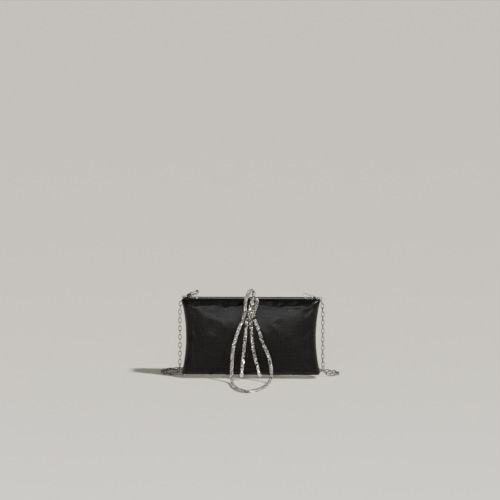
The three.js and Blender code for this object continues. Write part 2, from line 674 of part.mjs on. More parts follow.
/** The wrap that holds the bow together: a squat barrel round its strands. */
function bowKnot() {
  const { halfWidth, halfDepth, halfHeight } = KNOT;
  const profile = [[0, -halfHeight]];
  for (let k = 0; k <= 6; k += 1) {
    const share = -1 + k / 3;
    profile.push([halfWidth * (0.86 + 0.14 * (1 - share * share)), halfHeight * share]);
  }
  profile.push([0, halfHeight]);
  return turned(profile, 20).scale(1, halfDepth / halfWidth, 1)
    .translate(KNOT.x, KNOT.y, KNOT.z);
}

/** Traces a stadium, two half circles joined by straights, onto a shape or a hole path. */
function traceStadium(path, halfStraight, radius) {
  path.moveTo(-halfStraight, -radius);
  path.lineTo(halfStraight, -radius);
  path.absarc(halfStraight, 0, radius, -Math.PI / 2, Math.PI / 2, false);
  path.lineTo(-halfStraight, radius);
  path.absarc(-halfStraight, 0, radius, Math.PI / 2, (3 * Math.PI) / 2, false);
  path.closePath();
  return path;
}

const HANK_HEIGHT = CHAIN_DIAMETER + (HANK.layers - 1) * HANK.layerRise;

/** The chain that is put away behind the bag: its turns as one ring with round ends. */
function chainHank() {
  const half = HANK.straight / 2;
  const shape = traceStadium(new THREE.Shape(), half, HANK.radius + CHAIN_DIAMETER / 2);
  shape.holes.push(traceStadium(new THREE.Path(), half, HANK.radius - CHAIN_DIAMETER / 2));
  return new THREE.ExtrudeGeometry(shape, {
    depth: HANK_HEIGHT, bevelEnabled: false, curveSegments: 10,
  }).translate(HANK.x, HANK.y, HANK.lift);
}

/** The ribbon tied round the rear side of the hank. */
function hankTie() {
  const reach = CHAIN_DIAMETER / 2 + SEAT;
  const y = HANK.y + HANK.radius;
  const inside = [[-TIE.width, y - reach, HANK.lift - SEAT],
    [TIE.width, y + reach, HANK.lift + HANK_HEIGHT + SEAT]];
  const grow = TIE.thickness;
  const outside = [[-TIE.width / 2, inside[0][1] - grow, inside[0][2] - grow],
    [TIE.width / 2, inside[1][1] + grow, inside[1][2] + grow]];
  return combine([boxBetween(...outside)], [boxBetween(...inside)]).translate(HANK.x, 0, 0);
}

// ---- The bag ------------------------------------------------------------------------------

const HALVES = { front: -1, rear: 1 };

for (const [name, side] of Object.entries(HALVES)) {
  const claspX = side * (CLASP_SPACING / 2);
  const holes = side < 0 ? [claspX] : [claspX, -CHAIN_POST_X, CHAIN_POST_X];
  addPiece(`${name}_hoop`, hoop(side, holes), CHROME);
  addPiece(`${name}_hinge_leaf`, hingeLeaf(side), CHROME);
  addPiece(`${name}_shell`, panelLayer(side, SHELL_OFFSET, SHELL_THICKNESS), BOARD);
  addPiece(`${name}_padding`, panelLayer(side, PADDING_OFFSET, PADDING_THICKNESS), FOAM);
  addPiece(`${name}_satin_cover`, panelLayer(side, 0, SATIN_THICKNESS), SATIN);
  addPiece(`${name}_lining_tray`, liningTray(side), LINING);
  addPiece(`${name}_clasp_post`, claspPost(side), CHROME);
}
addPiece('hinge_pin', hingePin(), CHROME);
addPiece('slip_pocket', slipPocket(), LINING);
addPiece('left_gusset', gusset(-1), LINING);
addPiece('right_gusset', gusset(1), LINING);

for (const [name, settings] of Object.entries(CLAWS)) {
  const yaw = THREE.MathUtils.degToRad(settings.eyeYaw);
  addPiece(`${name}_chain_post`, chainPost(settings.side * CHAIN_POST_X, yaw), CHROME);
  addClaw(name, settings);
}

addPiece('shoulder_chain_left', tube(CHAIN_LEFT, CHAIN_DIAMETER, 20), CHROME);
addPiece('shoulder_chain_right', tube(CHAIN_RIGHT, CHAIN_DIAMETER, 20), CHROME);
addPiece('shoulder_chain_hank', chainHank(), CHROME);
addPiece('hank_tie', hankTie(), RIBBON);

addPiece('bow_knot', bowKnot(), CRYSTAL);
addPiece('wrist_loop', tube(WRIST_LOOP, ROPE_DIAMETER, 34), CRYSTAL);
addPiece('bow_tall_ear', tube(TALL_EAR, ROPE_DIAMETER, 12), CRYSTAL);
addPiece('bow_short_ear', tube(SHORT_EAR, ROPE_DIAMETER, 9), CRYSTAL);
addPiece('bow_left_tail', tube(LEFT_TAIL, ROPE_DIAMETER, 6), CRYSTAL);
addPiece('bow_right_tail', tube(RIGHT_TAIL, ROPE_DIAMETER, 6), CRYSTAL);
addPiece('left_tail_cap', tailCap(LEFT_TAIL), CHROME);
addPiece('right_tail_cap', tailCap(RIGHT_TAIL), CHROME);

export default bag;
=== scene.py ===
"""Looks of the evening bag: a satin minaudiere with a chain and a bow of rhinestone rope.

Lengths in the classes are millimetres, as in the part's source; a mesh is scaled to metres when
its piece is made. +X is to the right, -Y towards the viewer and +Z up.
"""

import json
import logging
import math
from collections.abc import Sequence
from dataclasses import dataclass, field
from enum import Enum
from typing import ClassVar

import bmesh
import bpy
import numpy as np
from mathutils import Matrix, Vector
from numpy.typing import NDArray

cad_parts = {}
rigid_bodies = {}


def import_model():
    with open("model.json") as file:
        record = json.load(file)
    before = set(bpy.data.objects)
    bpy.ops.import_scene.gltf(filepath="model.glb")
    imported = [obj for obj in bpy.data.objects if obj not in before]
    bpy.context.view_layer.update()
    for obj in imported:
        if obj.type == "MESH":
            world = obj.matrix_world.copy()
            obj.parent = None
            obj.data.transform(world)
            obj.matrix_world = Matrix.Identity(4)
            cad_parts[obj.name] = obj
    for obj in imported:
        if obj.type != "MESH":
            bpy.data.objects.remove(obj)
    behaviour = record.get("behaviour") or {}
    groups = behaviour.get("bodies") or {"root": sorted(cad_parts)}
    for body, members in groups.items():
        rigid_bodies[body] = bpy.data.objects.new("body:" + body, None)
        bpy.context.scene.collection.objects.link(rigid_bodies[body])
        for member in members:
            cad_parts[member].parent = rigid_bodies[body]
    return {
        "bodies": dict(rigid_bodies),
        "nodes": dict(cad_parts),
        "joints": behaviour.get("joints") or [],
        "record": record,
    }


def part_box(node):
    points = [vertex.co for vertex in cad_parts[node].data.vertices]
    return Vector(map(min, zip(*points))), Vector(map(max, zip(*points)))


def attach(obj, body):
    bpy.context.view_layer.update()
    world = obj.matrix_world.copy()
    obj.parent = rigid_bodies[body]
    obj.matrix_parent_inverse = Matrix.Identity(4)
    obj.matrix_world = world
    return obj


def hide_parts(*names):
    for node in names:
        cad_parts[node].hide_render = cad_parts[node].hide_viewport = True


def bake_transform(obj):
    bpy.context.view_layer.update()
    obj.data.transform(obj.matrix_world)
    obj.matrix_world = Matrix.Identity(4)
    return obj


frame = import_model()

Array = NDArray[np.float64]
Colour = tuple[float, float, float, float]
MM = 0.001
TURN = 2 * math.pi
log = logging.getLogger("evening_bag")


# ---- Shader graphs --------------------------------------------------------------------------


class Signal:
    """One number from a shader node; arithmetic on it adds Math nodes to its graph."""

    def __init__(self, graph: "Graph", socket: bpy.types.NodeSocket) -> None:
        """Wraps a node's output socket."""
        self.graph = graph
        self.socket = socket

    def __add__(self, other: "Signal | float") -> "Signal":
        """The sum."""
        return self.graph.math("ADD", self, other)

    def __sub__(self, other: "Signal | float") -> "Signal":
        """The difference."""
        return self.graph.math("SUBTRACT", self, other)

    def __rsub__(self, other: "Signal | float") -> "Signal":
        """The difference, from a number or signal before it."""
        return self.graph.math("SUBTRACT", other, self)

    def __mul__(self, other: "Signal | float") -> "Signal":
        """The product."""
        return self.graph.math("MULTIPLY", self, other)

    __radd__ = __add__
    __rmul__ = __mul__

    def sine(self) -> "Signal":
        """The sine of the number, in radians."""
        return self.graph.math("SINE", self)

    def size(self) -> "Signal":
        """The number without its sign."""
        return self.graph.math("ABSOLUTE", self)

    def step(self, low: float, high: float) -> "Signal":
        """A smooth rise from 0 at low to 1 at high."""
        settings = {"interpolation_type": "SMOOTHSTEP"}
        inputs = {"Value": self, "From Min": low, "From Max": high}
        return self.graph.signal("ShaderNodeMapRange", settings, inputs)


class Graph:
    """The node tree of one material, round a Principled shader."""

    @staticmethod
    def input_name(word: str) -> str:
        """The shader's own name for an input, such as Base Color for base_color."""
        return word.replace("_", " ").title().replace("Ior", "IOR")

    def __init__(self, name: str, **constants: object) -> None:
        """Makes the material, with constants on its shader's own inputs."""
        self.material = bpy.data.materials.new(name)
        self.material.use_nodes = True
        self.tree = self.material.node_tree
        self.shader = self.tree.nodes["Principled BSDF"]
        for key, value in constants.items():
            self.shader.inputs[self.input_name(key)].default_value = value

    def node(self, kind: str, settings: dict[str, object], inputs: dict) -> bpy.types.Node:
        """Adds a node.

        Args:
            kind: The node's type name.
            settings: Its own properties.
            inputs: A Signal, a socket or a constant for each input, by name or index.

        Returns:
            The new node.
        """
        node = self.tree.nodes.new(kind)
        for key, value in settings.items():
            setattr(node, key, value)
        for key, value in inputs.items():
            if isinstance(value, Signal):
                value = value.socket
            if isinstance(value, bpy.types.NodeSocket):
                self.tree.links.new(value, node.inputs[key])
            else:
                node.inputs[key].default_value = value
        return node

    def signal(self, kind: str, settings: dict, inputs: dict, output: str | int = 0) -> Signal:
        """Adds a node and gives one of its outputs."""
        return Signal(self, self.node(kind, settings, inputs).outputs[output])

    def math(self, operation: str, *operands: Signal | float) -> Signal:
        """Adds a Math node."""
        return self.signal("ShaderNodeMath", {"operation": operation}, dict(enumerate(operands)))

    def place(self, scale: tuple[float, float, float] = (1, 1, 1)) -> Signal:
        """Object coordinates in millimetres, times a scale for each axis."""
        point = self.signal("ShaderNodeTexCoord", {}, {}, "Object")
        sizes = tuple(value / MM for value in scale)
        return self.signal("ShaderNodeMapping", {}, {"Vector": point, "Scale": sizes})

    def axes(self) -> tuple[Signal, Signal, Signal]:
        """The three object coordinates in millimetres, each as a number."""
        node = self.node("ShaderNodeSeparateXYZ", {}, {"Vector": self.place()})
        return tuple(Signal(self, socket) for socket in node.outputs)

    def noise(self, sizes: tuple[float, float, float], detail: float = 2) -> Signal:
        """Soft noise from 0 to 1 whose blotches have the given sizes in millimetres."""
        point = self.place(tuple(1 / size for size in sizes))
        return self.signal("ShaderNodeTexNoise", {}, {"Vector": point, "Scale": 1.0, "Detail": detail})

    def attribute(self, name: str) -> Signal:
        """A number kept on the mesh."""
        return self.signal("ShaderNodeAttribute", {"attribute_name": name}, {}, "Fac")

    def blend(self, share: Signal, low: Colour, high: Colour) -> Signal:
        """A colour between two, by a share."""
        inputs = {0: share, 6: low, 7: high}
        return self.signal("ShaderNodeMix", {"data_type": "RGBA"}, inputs, 2)

    def drive(self, **inputs: Signal) -> "Graph":
        """Links signals to the shader's inputs."""
        for key, value in inputs.items():
            self.tree.links.new(value.socket, self.shader.inputs[self.input_name(key)])
        return self

    def bump(self, height: Signal, depth: float, strength: float = 1.0) -> "Graph":
        """Gives the surface relief.

        Args:
            height: The relief, from 0 to 1.
            depth: What a height of 1 stands for, in millimetres.
            strength: The share of it that shades the surface.

        Returns:
            This graph.
        """
        inputs = {"Height": height, "Distance": depth * MM, "Strength": strength}
        return self.drive(normal=self.signal("ShaderNodeBump", {}, inputs))


def grey(value: float, warmth: float = 0.0) -> Colour:
    """A linear grey, warmed by a share of its value."""
    return (value * (1 + warmth), value, value * (1 - warmth), 1.0)


@dataclass(frozen=True)
class Metal:
    """Plated metal: bright, with faint smudges and hair scratches."""

    name: str
    tone: float
    roughness: float
    smudge: float = 0.08

    def build(self) -> bpy.types.Material:
        """Makes the material."""
        graph = Graph(self.name, metallic=1.0)
        cloud = graph.noise((9, 9, 9), 3)
        hair = graph.noise((0.25, 3, 2.2), 2)
        grain = graph.noise((0.5, 0.5, 0.5), 1)
        graph.drive(
            base_color=graph.blend(
                cloud.step(0.3, 0.75), grey(self.tone * 0.9, 0.015), grey(self.tone, 0.008)),
            roughness=self.roughness + cloud.step(0.35, 0.8) * self.smudge + hair.step(0.6, 0.75) * 0.05,
        )
        return graph.bump(hair.step(0.58, 0.72) * 0.6 + grain * 0.4, 0.012, 0.5).material


@dataclass(frozen=True)
class SatinWeave:
    """Duchesse satin: fine threads both ways, slubs and a soft sheen."""

    name: str
    tone: float
    sheen: float
    thread: float = 0.32

    def build(self) -> bpy.types.Material:
        """Makes the material. Threads are sines across X and Z; slubs are stretched noise."""
        graph = Graph(
            self.name, sheen_weight=self.sheen, sheen_roughness=0.35, sheen_tint=grey(0.9, 0.02),
            specular_ior_level=0.13, anisotropic=0.35,
        )
        x, _, z = graph.axes()
        slub_across = graph.noise((22, 4, 1.5), 2)
        slub_down = graph.noise((1.5, 4, 18), 2)
        cloud = graph.noise((26, 26, 18), 2)
        warp = ((x + slub_down * 0.3) * (TURN / self.thread)).sine()
        weft = ((z + slub_across * 0.3) * (TURN / (self.thread * 1.4))).sine()
        slubs = slub_across.step(0.35, 0.72) * 0.5 + slub_down.step(0.35, 0.72) * 0.5
        graph.drive(
            base_color=graph.blend(slubs, grey(self.tone * 0.7), grey(self.tone * 1.6, 0.01)),
            roughness=0.22 + slubs * 0.14 + cloud * 0.04,
        )
        relief = slubs * 0.6 + warp * 0.1 + weft * 0.12 + 0.2
        return graph.bump(relief, 0.13, 0.55).material


@dataclass(frozen=True)
class Cloth:
    """Plain woven fabric, such as the lining, or a ribbon's grosgrain when the ribs are wide."""

    name: str
    colour: Colour
    thread: float
    roughness: float
    sheen: float

    def build(self) -> bpy.types.Material:
        """Makes the material. The weave is a product of sines across X and up Z with Y."""
        graph = Graph(self.name, sheen_weight=self.sheen, sheen_roughness=0.5)
        x, y, z = graph.axes()
        drift = graph.noise((6, 6, 6), 2)
        pitch = TURN / self.thread
        weave = (x * pitch).sine() * ((z + y) * pitch).sine()
        fleck = graph.noise((1.2, 1.2, 1.2), 3)
        dark = tuple(0.72 * value for value in self.colour[:3]) + (1.0,)
        graph.drive(
            base_color=graph.blend(fleck * 0.6 + drift * 0.4, dark, self.colour),
            roughness=self.roughness + drift * 0.1,
        )
        return graph.bump(weave * 0.35 + fleck * 0.5, 0.09, 0.6).material


@dataclass(frozen=True)
class Crystal:
    """Foiled glass stones; each stone's brightness from the mesh is painted sparkle, near white for a glint
    and near black for a stone that mirrors darkness.
    """

    name: str

    def build(self) -> bpy.types.Material:
        """Makes the material."""
        graph = Graph(self.name, coat_weight=0.6, coat_roughness=0.03)
        tone = graph.attribute("tone")
        haze = graph.noise((0.6, 0.6, 0.6), 2)
        # The tone runs from near black to near white: painted sparkle, not the stones' own colour.
        graph.drive(
            base_color=graph.blend(tone, grey(0.02, 0.05), (1.0, 0.94, 0.91, 1.0)),
            metallic=0.35 + tone * 0.45,
            roughness=0.08 + haze * 0.16,
        )
        return graph.bump(haze, 0.02, 0.3).material


@dataclass(frozen=True)
class Speckle:
    """Foam, card or a studio floor: one colour, broken by fine grain."""

    name: str
    colour: Colour
    grain: float
    depth: float
    roughness: float = 0.85

    def build(self) -> bpy.types.Material:
        """Makes the material."""
        graph = Graph(self.name, specular_ior_level=0.25)
        grain = graph.noise((self.grain,) * 3, 3)
        cloud = graph.noise((self.grain * 40,) * 3, 2)
        dark = tuple(0.94 * value for value in self.colour[:3]) + (1.0,)
        graph.drive(
            base_color=graph.blend(grain * 0.5 + cloud * 0.5, dark, self.colour),
            roughness=self.roughness + grain * 0.1,
        )
        return graph.bump(grain, self.depth, 0.4).material


class Finish(Enum):
    """Every finish that the bag and its stage use."""

    CHROME = Metal("polished_chrome", 0.86, 0.10)
    # The claws are chromed like the rest of the fittings; their lower tone paints the dark reflections on
    # them.
    CLAW = Metal("claw_plating", 0.42, 0.10)
    # The chain is silver; its low tone paints the dark reflections on its links.
    CHAIN = Metal("chain_silver", 0.26, 0.16, 0.05)
    HINGE = Metal("hinge_steel", 0.60, 0.26)
    SATIN = SatinWeave("black_satin", 0.004, 0.02)
    LINING = Cloth("lining_cloth", grey(0.030, 0.02), 0.5, 0.62, 0.3)
    GUSSET = Cloth("gusset_cloth", grey(0.022, 0.02), 0.5, 0.66, 0.3)
    RIBBON = Cloth("ribbon", (0.78, 0.75, 0.69, 1.0), 0.8, 0.6, 0.2)
    THREAD = Cloth("sewing_thread", grey(0.10, 0.02), 0.3, 0.7, 0.3)
    CRYSTAL = Crystal("rhinestones")
    # The rope's mesh is set near black so that the gaps between the stones read dark: painted shade between
    # the stones.
    CORE = Metal("rope_mesh", 0.05, 0.42)
    FOAM = Speckle("padding_foam", (0.68, 0.63, 0.53, 1.0), 0.9, 0.25)
    CARD = Speckle("shell_card", grey(0.045, 0.02), 0.6, 0.05, 0.7)
    FLOOR = Speckle("studio_floor", (0.86, 0.82, 0.73, 1.0), 3.0, 0.02, 0.7)

    def material(self) -> bpy.types.Material:
        """The finish's material, made on first use."""
        return bpy.data.materials.get(self.value.name) or self.value.build()


# ---- Meshes as whole arrays -----------------------------------------------------------------


@dataclass
class Shape:
    """Vertices in millimetres, with blocks of faces that share a corner count and a material."""

    points: Array
    blocks: list[tuple[NDArray[np.int64], int]] = field(default_factory=list)
    tones: Array | None = None

    @staticmethod
    def join(shapes: Sequence["Shape"]) -> "Shape":
        """Several shapes as one, each still a closed skin of its own."""
        starts = np.cumsum([0] + [len(shape.points) for shape in shapes])
        blocks = [
            (faces + start, material)
            for shape, start in zip(shapes, starts) for faces, material in shape.blocks
        ]
        tones = np.concatenate([
            np.ones(len(shape.points)) if shape.tones is None else shape.tones for shape in shapes
        ])
        return Shape(np.concatenate([shape.points for shape in shapes]), blocks, tones)

    @staticmethod
    def grid(points: Array, wrap: tuple[bool, bool] = (False, True), material: int = 0,
             caps: bool = True) -> "Shape":
        """A skin over a grid of points.

        Vertex (i, j) is numbered i * columns + j, and face (i, j) joins it to its next
        neighbours along both directions, counted round where that direction wraps.

        Args:
            points: The grid, as (rows, columns, 3).
            wrap: Whether the rows and the columns close on themselves.
            material: The material's index on the piece.
            caps: Whether the first and last rows are closed with one face each.

        Returns:
            The shape.
        """
        rows, columns = points.shape[:2]
        i = np.arange(rows if wrap[0] else rows - 1)[:, None]
        j = np.arange(columns if wrap[1] else columns - 1)[None, :]
        down, right = (i + 1) % rows, (j + 1) % columns
        corners = [i * columns + j, i * columns + right, down * columns + right, down * columns + j]
        quads = np.stack(np.broadcast_arrays(*corners), axis=-1).reshape(-1, 4)
        blocks = [(quads, material)]
        if caps and wrap[1] and not wrap[0]:
            ends = np.stack([np.arange(columns)[::-1], np.arange(columns) + (rows - 1) * columns])
            blocks.append((ends, material))
        return Shape(points.reshape(-1, 3), blocks)

    def moved(self, matrix: Array, origin: Array) -> "Shape":
        """The shape turned by a 3 x 3 matrix whose rows are its new axes, then shifted."""
        return Shape(self.points @ matrix + origin, self.blocks, self.tones)

    def piece(self, name: str, *finishes: Finish, crease: float = 35.0) -> bpy.types.Object:
        """Makes the Blender object, with its faces outwards and its sharp edges marked.

        Args:
            name: The piece's name.
            finishes: Its materials, by index.
            crease: The angle between faces, in degrees, from which an edge is sharp.

        Returns:
            The object, at the origin.
        """
        mesh = bpy.data.meshes.new(name)
        faces = [face for block, _ in self.blocks for face in block.tolist()]
        mesh.from_pydata(self.points * MM, [], faces)
        index = np.concatenate([np.full(len(block), slot) for block, slot in self.blocks])
        mesh.polygons.foreach_set("material_index", index.astype(np.int32))
        if self.tones is not None:
            tone = mesh.attributes.new("tone", "FLOAT", "POINT")
            tone.data.foreach_set("value", self.tones.astype(np.float32))
        for finish in finishes:
            mesh.materials.append(finish.material())
        work = bmesh.new()
        work.from_mesh(mesh)
        bmesh.ops.remove_doubles(work, verts=work.verts, dist=1e-6)
        bmesh.ops.recalc_face_normals(work, faces=work.faces)
        work.to_mesh(mesh)
        work.free()
        mesh.shade_smooth()
        mesh.set_sharp_from_angle(angle=math.radians(crease))
        obj = bpy.data.objects.new(name, mesh)
        bpy.context.scene.collection.objects.link(obj)
        log.info("%s: %d faces", name, len(faces))
        return obj


def unit(vectors: Array) -> Array:
    """Vectors of length one."""
    return vectors / np.linalg.norm(vectors, axis=-1, keepdims=True)


def smooth_curve(points: Sequence[Sequence[float]], steps: int = 24) -> Array:
    """A centripetal Catmull-Rom curve through points.

    Between p1 and p2 it is the cubic with tangents t = (p1 - p0) / a - (p2 - p0) / (a + b) +
    (p2 - p1) / b, times b, where a and b are the square roots of the distances to p1 and p2.
    """
    p = np.asarray(points, float)
    p = np.vstack([2 * p[0] - p[1], p, 2 * p[-1] - p[-2]])
    p0, p1, p2, p3 = p[:-3], p[1:-2], p[2:-1], p[3:]
    a, b, c = (np.linalg.norm(q - r, axis=1, keepdims=True) ** 0.5
               for q, r in ((p1, p0), (p2, p1), (p3, p2)))
    t1 = b * ((p1 - p0) / a - (p2 - p0) / (a + b) + (p2 - p1) / b)
    t2 = b * ((p2 - p1) / b - (p3 - p1) / (b + c) + (p3 - p2) / c)
    u = (np.arange(steps) / steps)[None, :, None]
    p1, p2, t1, t2 = (q[:, None, :] for q in (p1, p2, t1, t2))
    curve = p1 + t1 * u + (3 * (p2 - p1) - 2 * t1 - t2) * u**2 + (2 * (p1 - p2) + t1 + t2) * u**3
    return np.vstack([curve.reshape(-1, 3), p[-2]])


class Path:
    """Evenly spaced stations along a line, each with a frame that turns as little as it can."""

    def __init__(self, line: Array, spacing: float, normal: Sequence[float] = (0, -1, 0)) -> None:
        """Spaces points evenly along a line, and carries a normal along it without twist."""
        runs = np.linalg.norm(np.diff(line, axis=0), axis=1)
        along = np.concatenate([[0], np.cumsum(runs)])
        self.length = float(along[-1])
        count = max(3, round(self.length / spacing) + 1)
        self.along = np.linspace(0, self.length, count)
        self.points = np.stack([np.interp(self.along, along, line[:, k]) for k in range(3)], axis=1)
        self.tangents = unit(np.gradient(self.points, axis=0))
        normals = [np.asarray(normal, float)]
        for tangent in self.tangents:
            last = normals[-1]
            normals.append(unit(last - tangent * (last @ tangent)))
        self.normals = np.array(normals[1:])
        self.sides = np.cross(self.tangents, self.normals)

    def tube(self, radius: float | Array, segments: int = 12, material: int = 0) -> Shape:
        """A round tube: point = station + radius * (cos a * normal + sin a * side)."""
        angle = np.arange(segments) / segments * TURN
        reach = np.broadcast_to(radius, len(self.points))[:, None, None]
        ring = (self.normals[:, None] * np.cos(angle)[:, None]
                + self.sides[:, None] * np.sin(angle)[:, None])
        return Shape.grid(self.points[:, None] + reach * ring, material=material)


def lathe(profile: Sequence[tuple[float, float]], segments: int = 32) -> Shape:
    """A profile of (radius, height) turned about +Z, closed at both ends."""
    radius, height = np.asarray(profile, float).T
    angle = np.arange(segments) / segments * TURN
    x = radius[:, None] * np.cos(angle)
    y = radius[:, None] * np.sin(angle)
    z = np.broadcast_to(height[:, None], x.shape)
    return Shape.grid(np.stack([x, y, z], axis=-1))


def torus(major: float, minor: float, segments: tuple[int, int] = (40, 14)) -> Shape:
    """A ring about +Z: radius = major + minor * cos b, height = minor * sin b."""
    a = np.arange(segments[0])[:, None] / segments[0] * TURN
    b = np.arange(segments[1])[None, :] / segments[1] * TURN
    reach = major + minor * np.cos(b)
    grid = np.stack([reach * np.cos(a), reach * np.sin(a), minor * np.sin(b) + 0 * a], axis=-1)
    return Shape.grid(grid, wrap=(True, True))


def rod(start: Sequence[float], end: Sequence[float], radius: float, round_off: float = 0.2) -> Shape:
    """A straight rod with slightly rounded ends."""
    start, end = np.asarray(start, float), np.asarray(end, float)
    run = end - start
    length = float(np.linalg.norm(run))
    z = run / length
    x = unit(np.cross(z, [0, 0, 1] if abs(z[2]) < 0.9 else [1, 0, 0]))
    profile = [(radius - round_off, 0), (radius, round_off), (radius, length - round_off),
               (radius - round_off, length)]
    return lathe(profile).moved(np.stack([x, np.cross(z, x), z]), start)


def rounded_box(low: Sequence[float], high: Sequence[float], soft: float = 0.15) -> Shape:
    """A box with chamfered edges, as four outlines up Z."""
    low, high = np.asarray(low, float), np.asarray(high, float)

    def outline(inset: float, z: float) -> Array:
        """One level's eight corners."""
        x0, y0 = low[:2] + inset
        x1, y1 = high[:2] - inset
        c = soft
        return np.array([
            [x0 + c, y0, z], [x1 - c, y0, z], [x1, y0 + c, z], [x1, y1 - c, z],
            [x1 - c, y1, z], [x0 + c, y1, z], [x0, y1 - c, z], [x0, y0 + c, z]])

    rows = [outline(soft, low[2]), outline(0, low[2] + soft), outline(0, high[2] - soft),
            outline(soft, high[2])]
    return Shape.grid(np.array(rows))


# ---- The case -------------------------------------------------------------------------------


class Half(Enum):
    """A half of the case, as the sign of its side of the parting plane."""

    FRONT = -1
    REAR = 1

    @property
    def label(self) -> str:
        """The half's name in the names of its pieces."""
        return self.name.lower()

    @property
    def body(self) -> str:
        """The CAD body that the half's pieces ride on."""
        return f"{self.label}_half"


def outline(half_width: float, low: float, high: float, radius: float) -> Array:
    """A rounded rectangle as (x, z) points, anticlockwise from its lower right corner."""
    sides, edges, arc = 36, 60, 9
    right = half_width - radius
    angles = np.linspace(0, math.pi / 2, arc)[None, :] + np.arange(-1, 3)[:, None] * math.pi / 2
    centres = np.array([[right, low + radius], [right, high - radius],
                        [-right, high - radius], [-right, low + radius]])
    corners = centres[:, None] + radius * np.stack([np.cos(angles), np.sin(angles)], axis=-1)
    starts, ends = corners[:, -1], np.roll(corners[:, 0], -1, axis=0)
    runs = []
    for k, steps in enumerate((sides, edges, sides, edges)):
        share = (np.arange(1, steps) / steps)[:, None]
        runs += [corners[k], starts[k] + (ends[k] - starts[k]) * share]
    return np.concatenate(runs)


@dataclass(frozen=True)
class CaseShape:
    """The sizes that the case's outlines and sections share, as in the part's source."""

    width: float
    height: float
    frame_depth: float = 6.0
    frame_radius: float = 8.0
    overhang: float = 2.3
    waist: float = 0.07
    low: float = 4.5
    top_rise: float = 0.6
    corner: float = 5.0
    tuck: float = 1.6
    swell_depth: float = 9.0
    shoulder_inset: float = 14.0
    shoulder_depth: float = 21.5
    crown: float = 4.1
    flat: float = 7.5
    post_inset: float = 20.0

    @classmethod
    def measured(cls) -> "CaseShape":
        """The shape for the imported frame's own width and height."""
        low, high = node_box("rear_hoop")
        return cls(width=high[0] - low[0], height=high[2])

    @property
    def high(self) -> float:
        """The panel's top edge."""
        return self.height + self.top_rise

    @property
    def middle(self) -> float:
        """The panel's middle height."""
        return (self.high + self.low) / 2

    @property
    def half_height(self) -> float:
        """Half the panel's height."""
        return (self.high - self.low) / 2

    def panel_outline(self, inset: float, grow: float = 0.5) -> Array:
        """The panel's drawn-in outline, moved inwards; its corners grow rounder with the inset."""
        reach = self.half_height - inset
        radius = min(self.corner + grow * inset, reach)
        points = outline(self.width / 2 + self.overhang - inset, self.low + inset,
                         self.high - inset, radius)
        share = (points[:, 1] - self.middle) / self.half_height
        points[:, 0] *= 1 - self.waist * (1 - share**2)
        return points

    def frame_outline(self, inset: float, low: float | None = None) -> Array:
        """The frame's outline, moved inwards; its low edge can be set on its own."""
        return outline(self.width / 2 - inset, inset if low is None else low,
                       self.height - inset, self.frame_radius - inset)

    def section(self, offset: float, start: float = 0.0, steps: tuple[int, int] = (22, 16)) -> Array:
        """A layer's section as (inset, depth).

        Round the shoulder, inset = S - (S - offset) cos a and depth = swell + out sin a. Over
        the crown, depth rises by crown * (1 - (1 - share)^2), and it stays level to the middle.

        Args:
            offset: How far the layer lies under the satin's face.
            start: The angle that the section starts from.
            steps: The steps round the shoulder and over the crown.

        Returns:
            The section, from the edge to the panel's middle line.
        """
        angle = np.linspace(start, math.pi / 2, steps[0])
        out = self.shoulder_depth - self.swell_depth - offset
        shoulder = np.stack([
            self.shoulder_inset - (self.shoulder_inset - offset) * np.cos(angle),
            self.swell_depth + out * np.sin(angle)], axis=1)
        share = np.linspace(0, 1, steps[1] + 1)[1:]
        flat_inset = self.half_height - self.flat
        inset = self.shoulder_inset + (flat_inset - self.shoulder_inset) * share
        crown = np.stack([inset, shoulder[-1, 1] + self.crown * (1 - (1 - share) ** 2)], axis=1)
        last = crown[-1, 1]
        middle = np.array([[self.half_height - self.flat * 0.5, last], [self.half_height, last]])
        return np.vstack([shoulder, crown, middle])


def node_box(name: str) -> tuple[Array, Array]:
    """A CAD node's lowest and highest corners, in millimetres."""
    low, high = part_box(name)
    return np.array(low) / MM, np.array(high) / MM


def ring(points: Array, depth: float | Array, half: Half) -> Array:
    """An outline's points at a depth in front of or behind the parting plane."""
    depths = np.broadcast_to(depth, len(points)) * half.value
    return np.stack([points[:, 0], depths, points[:, 1]], axis=1)


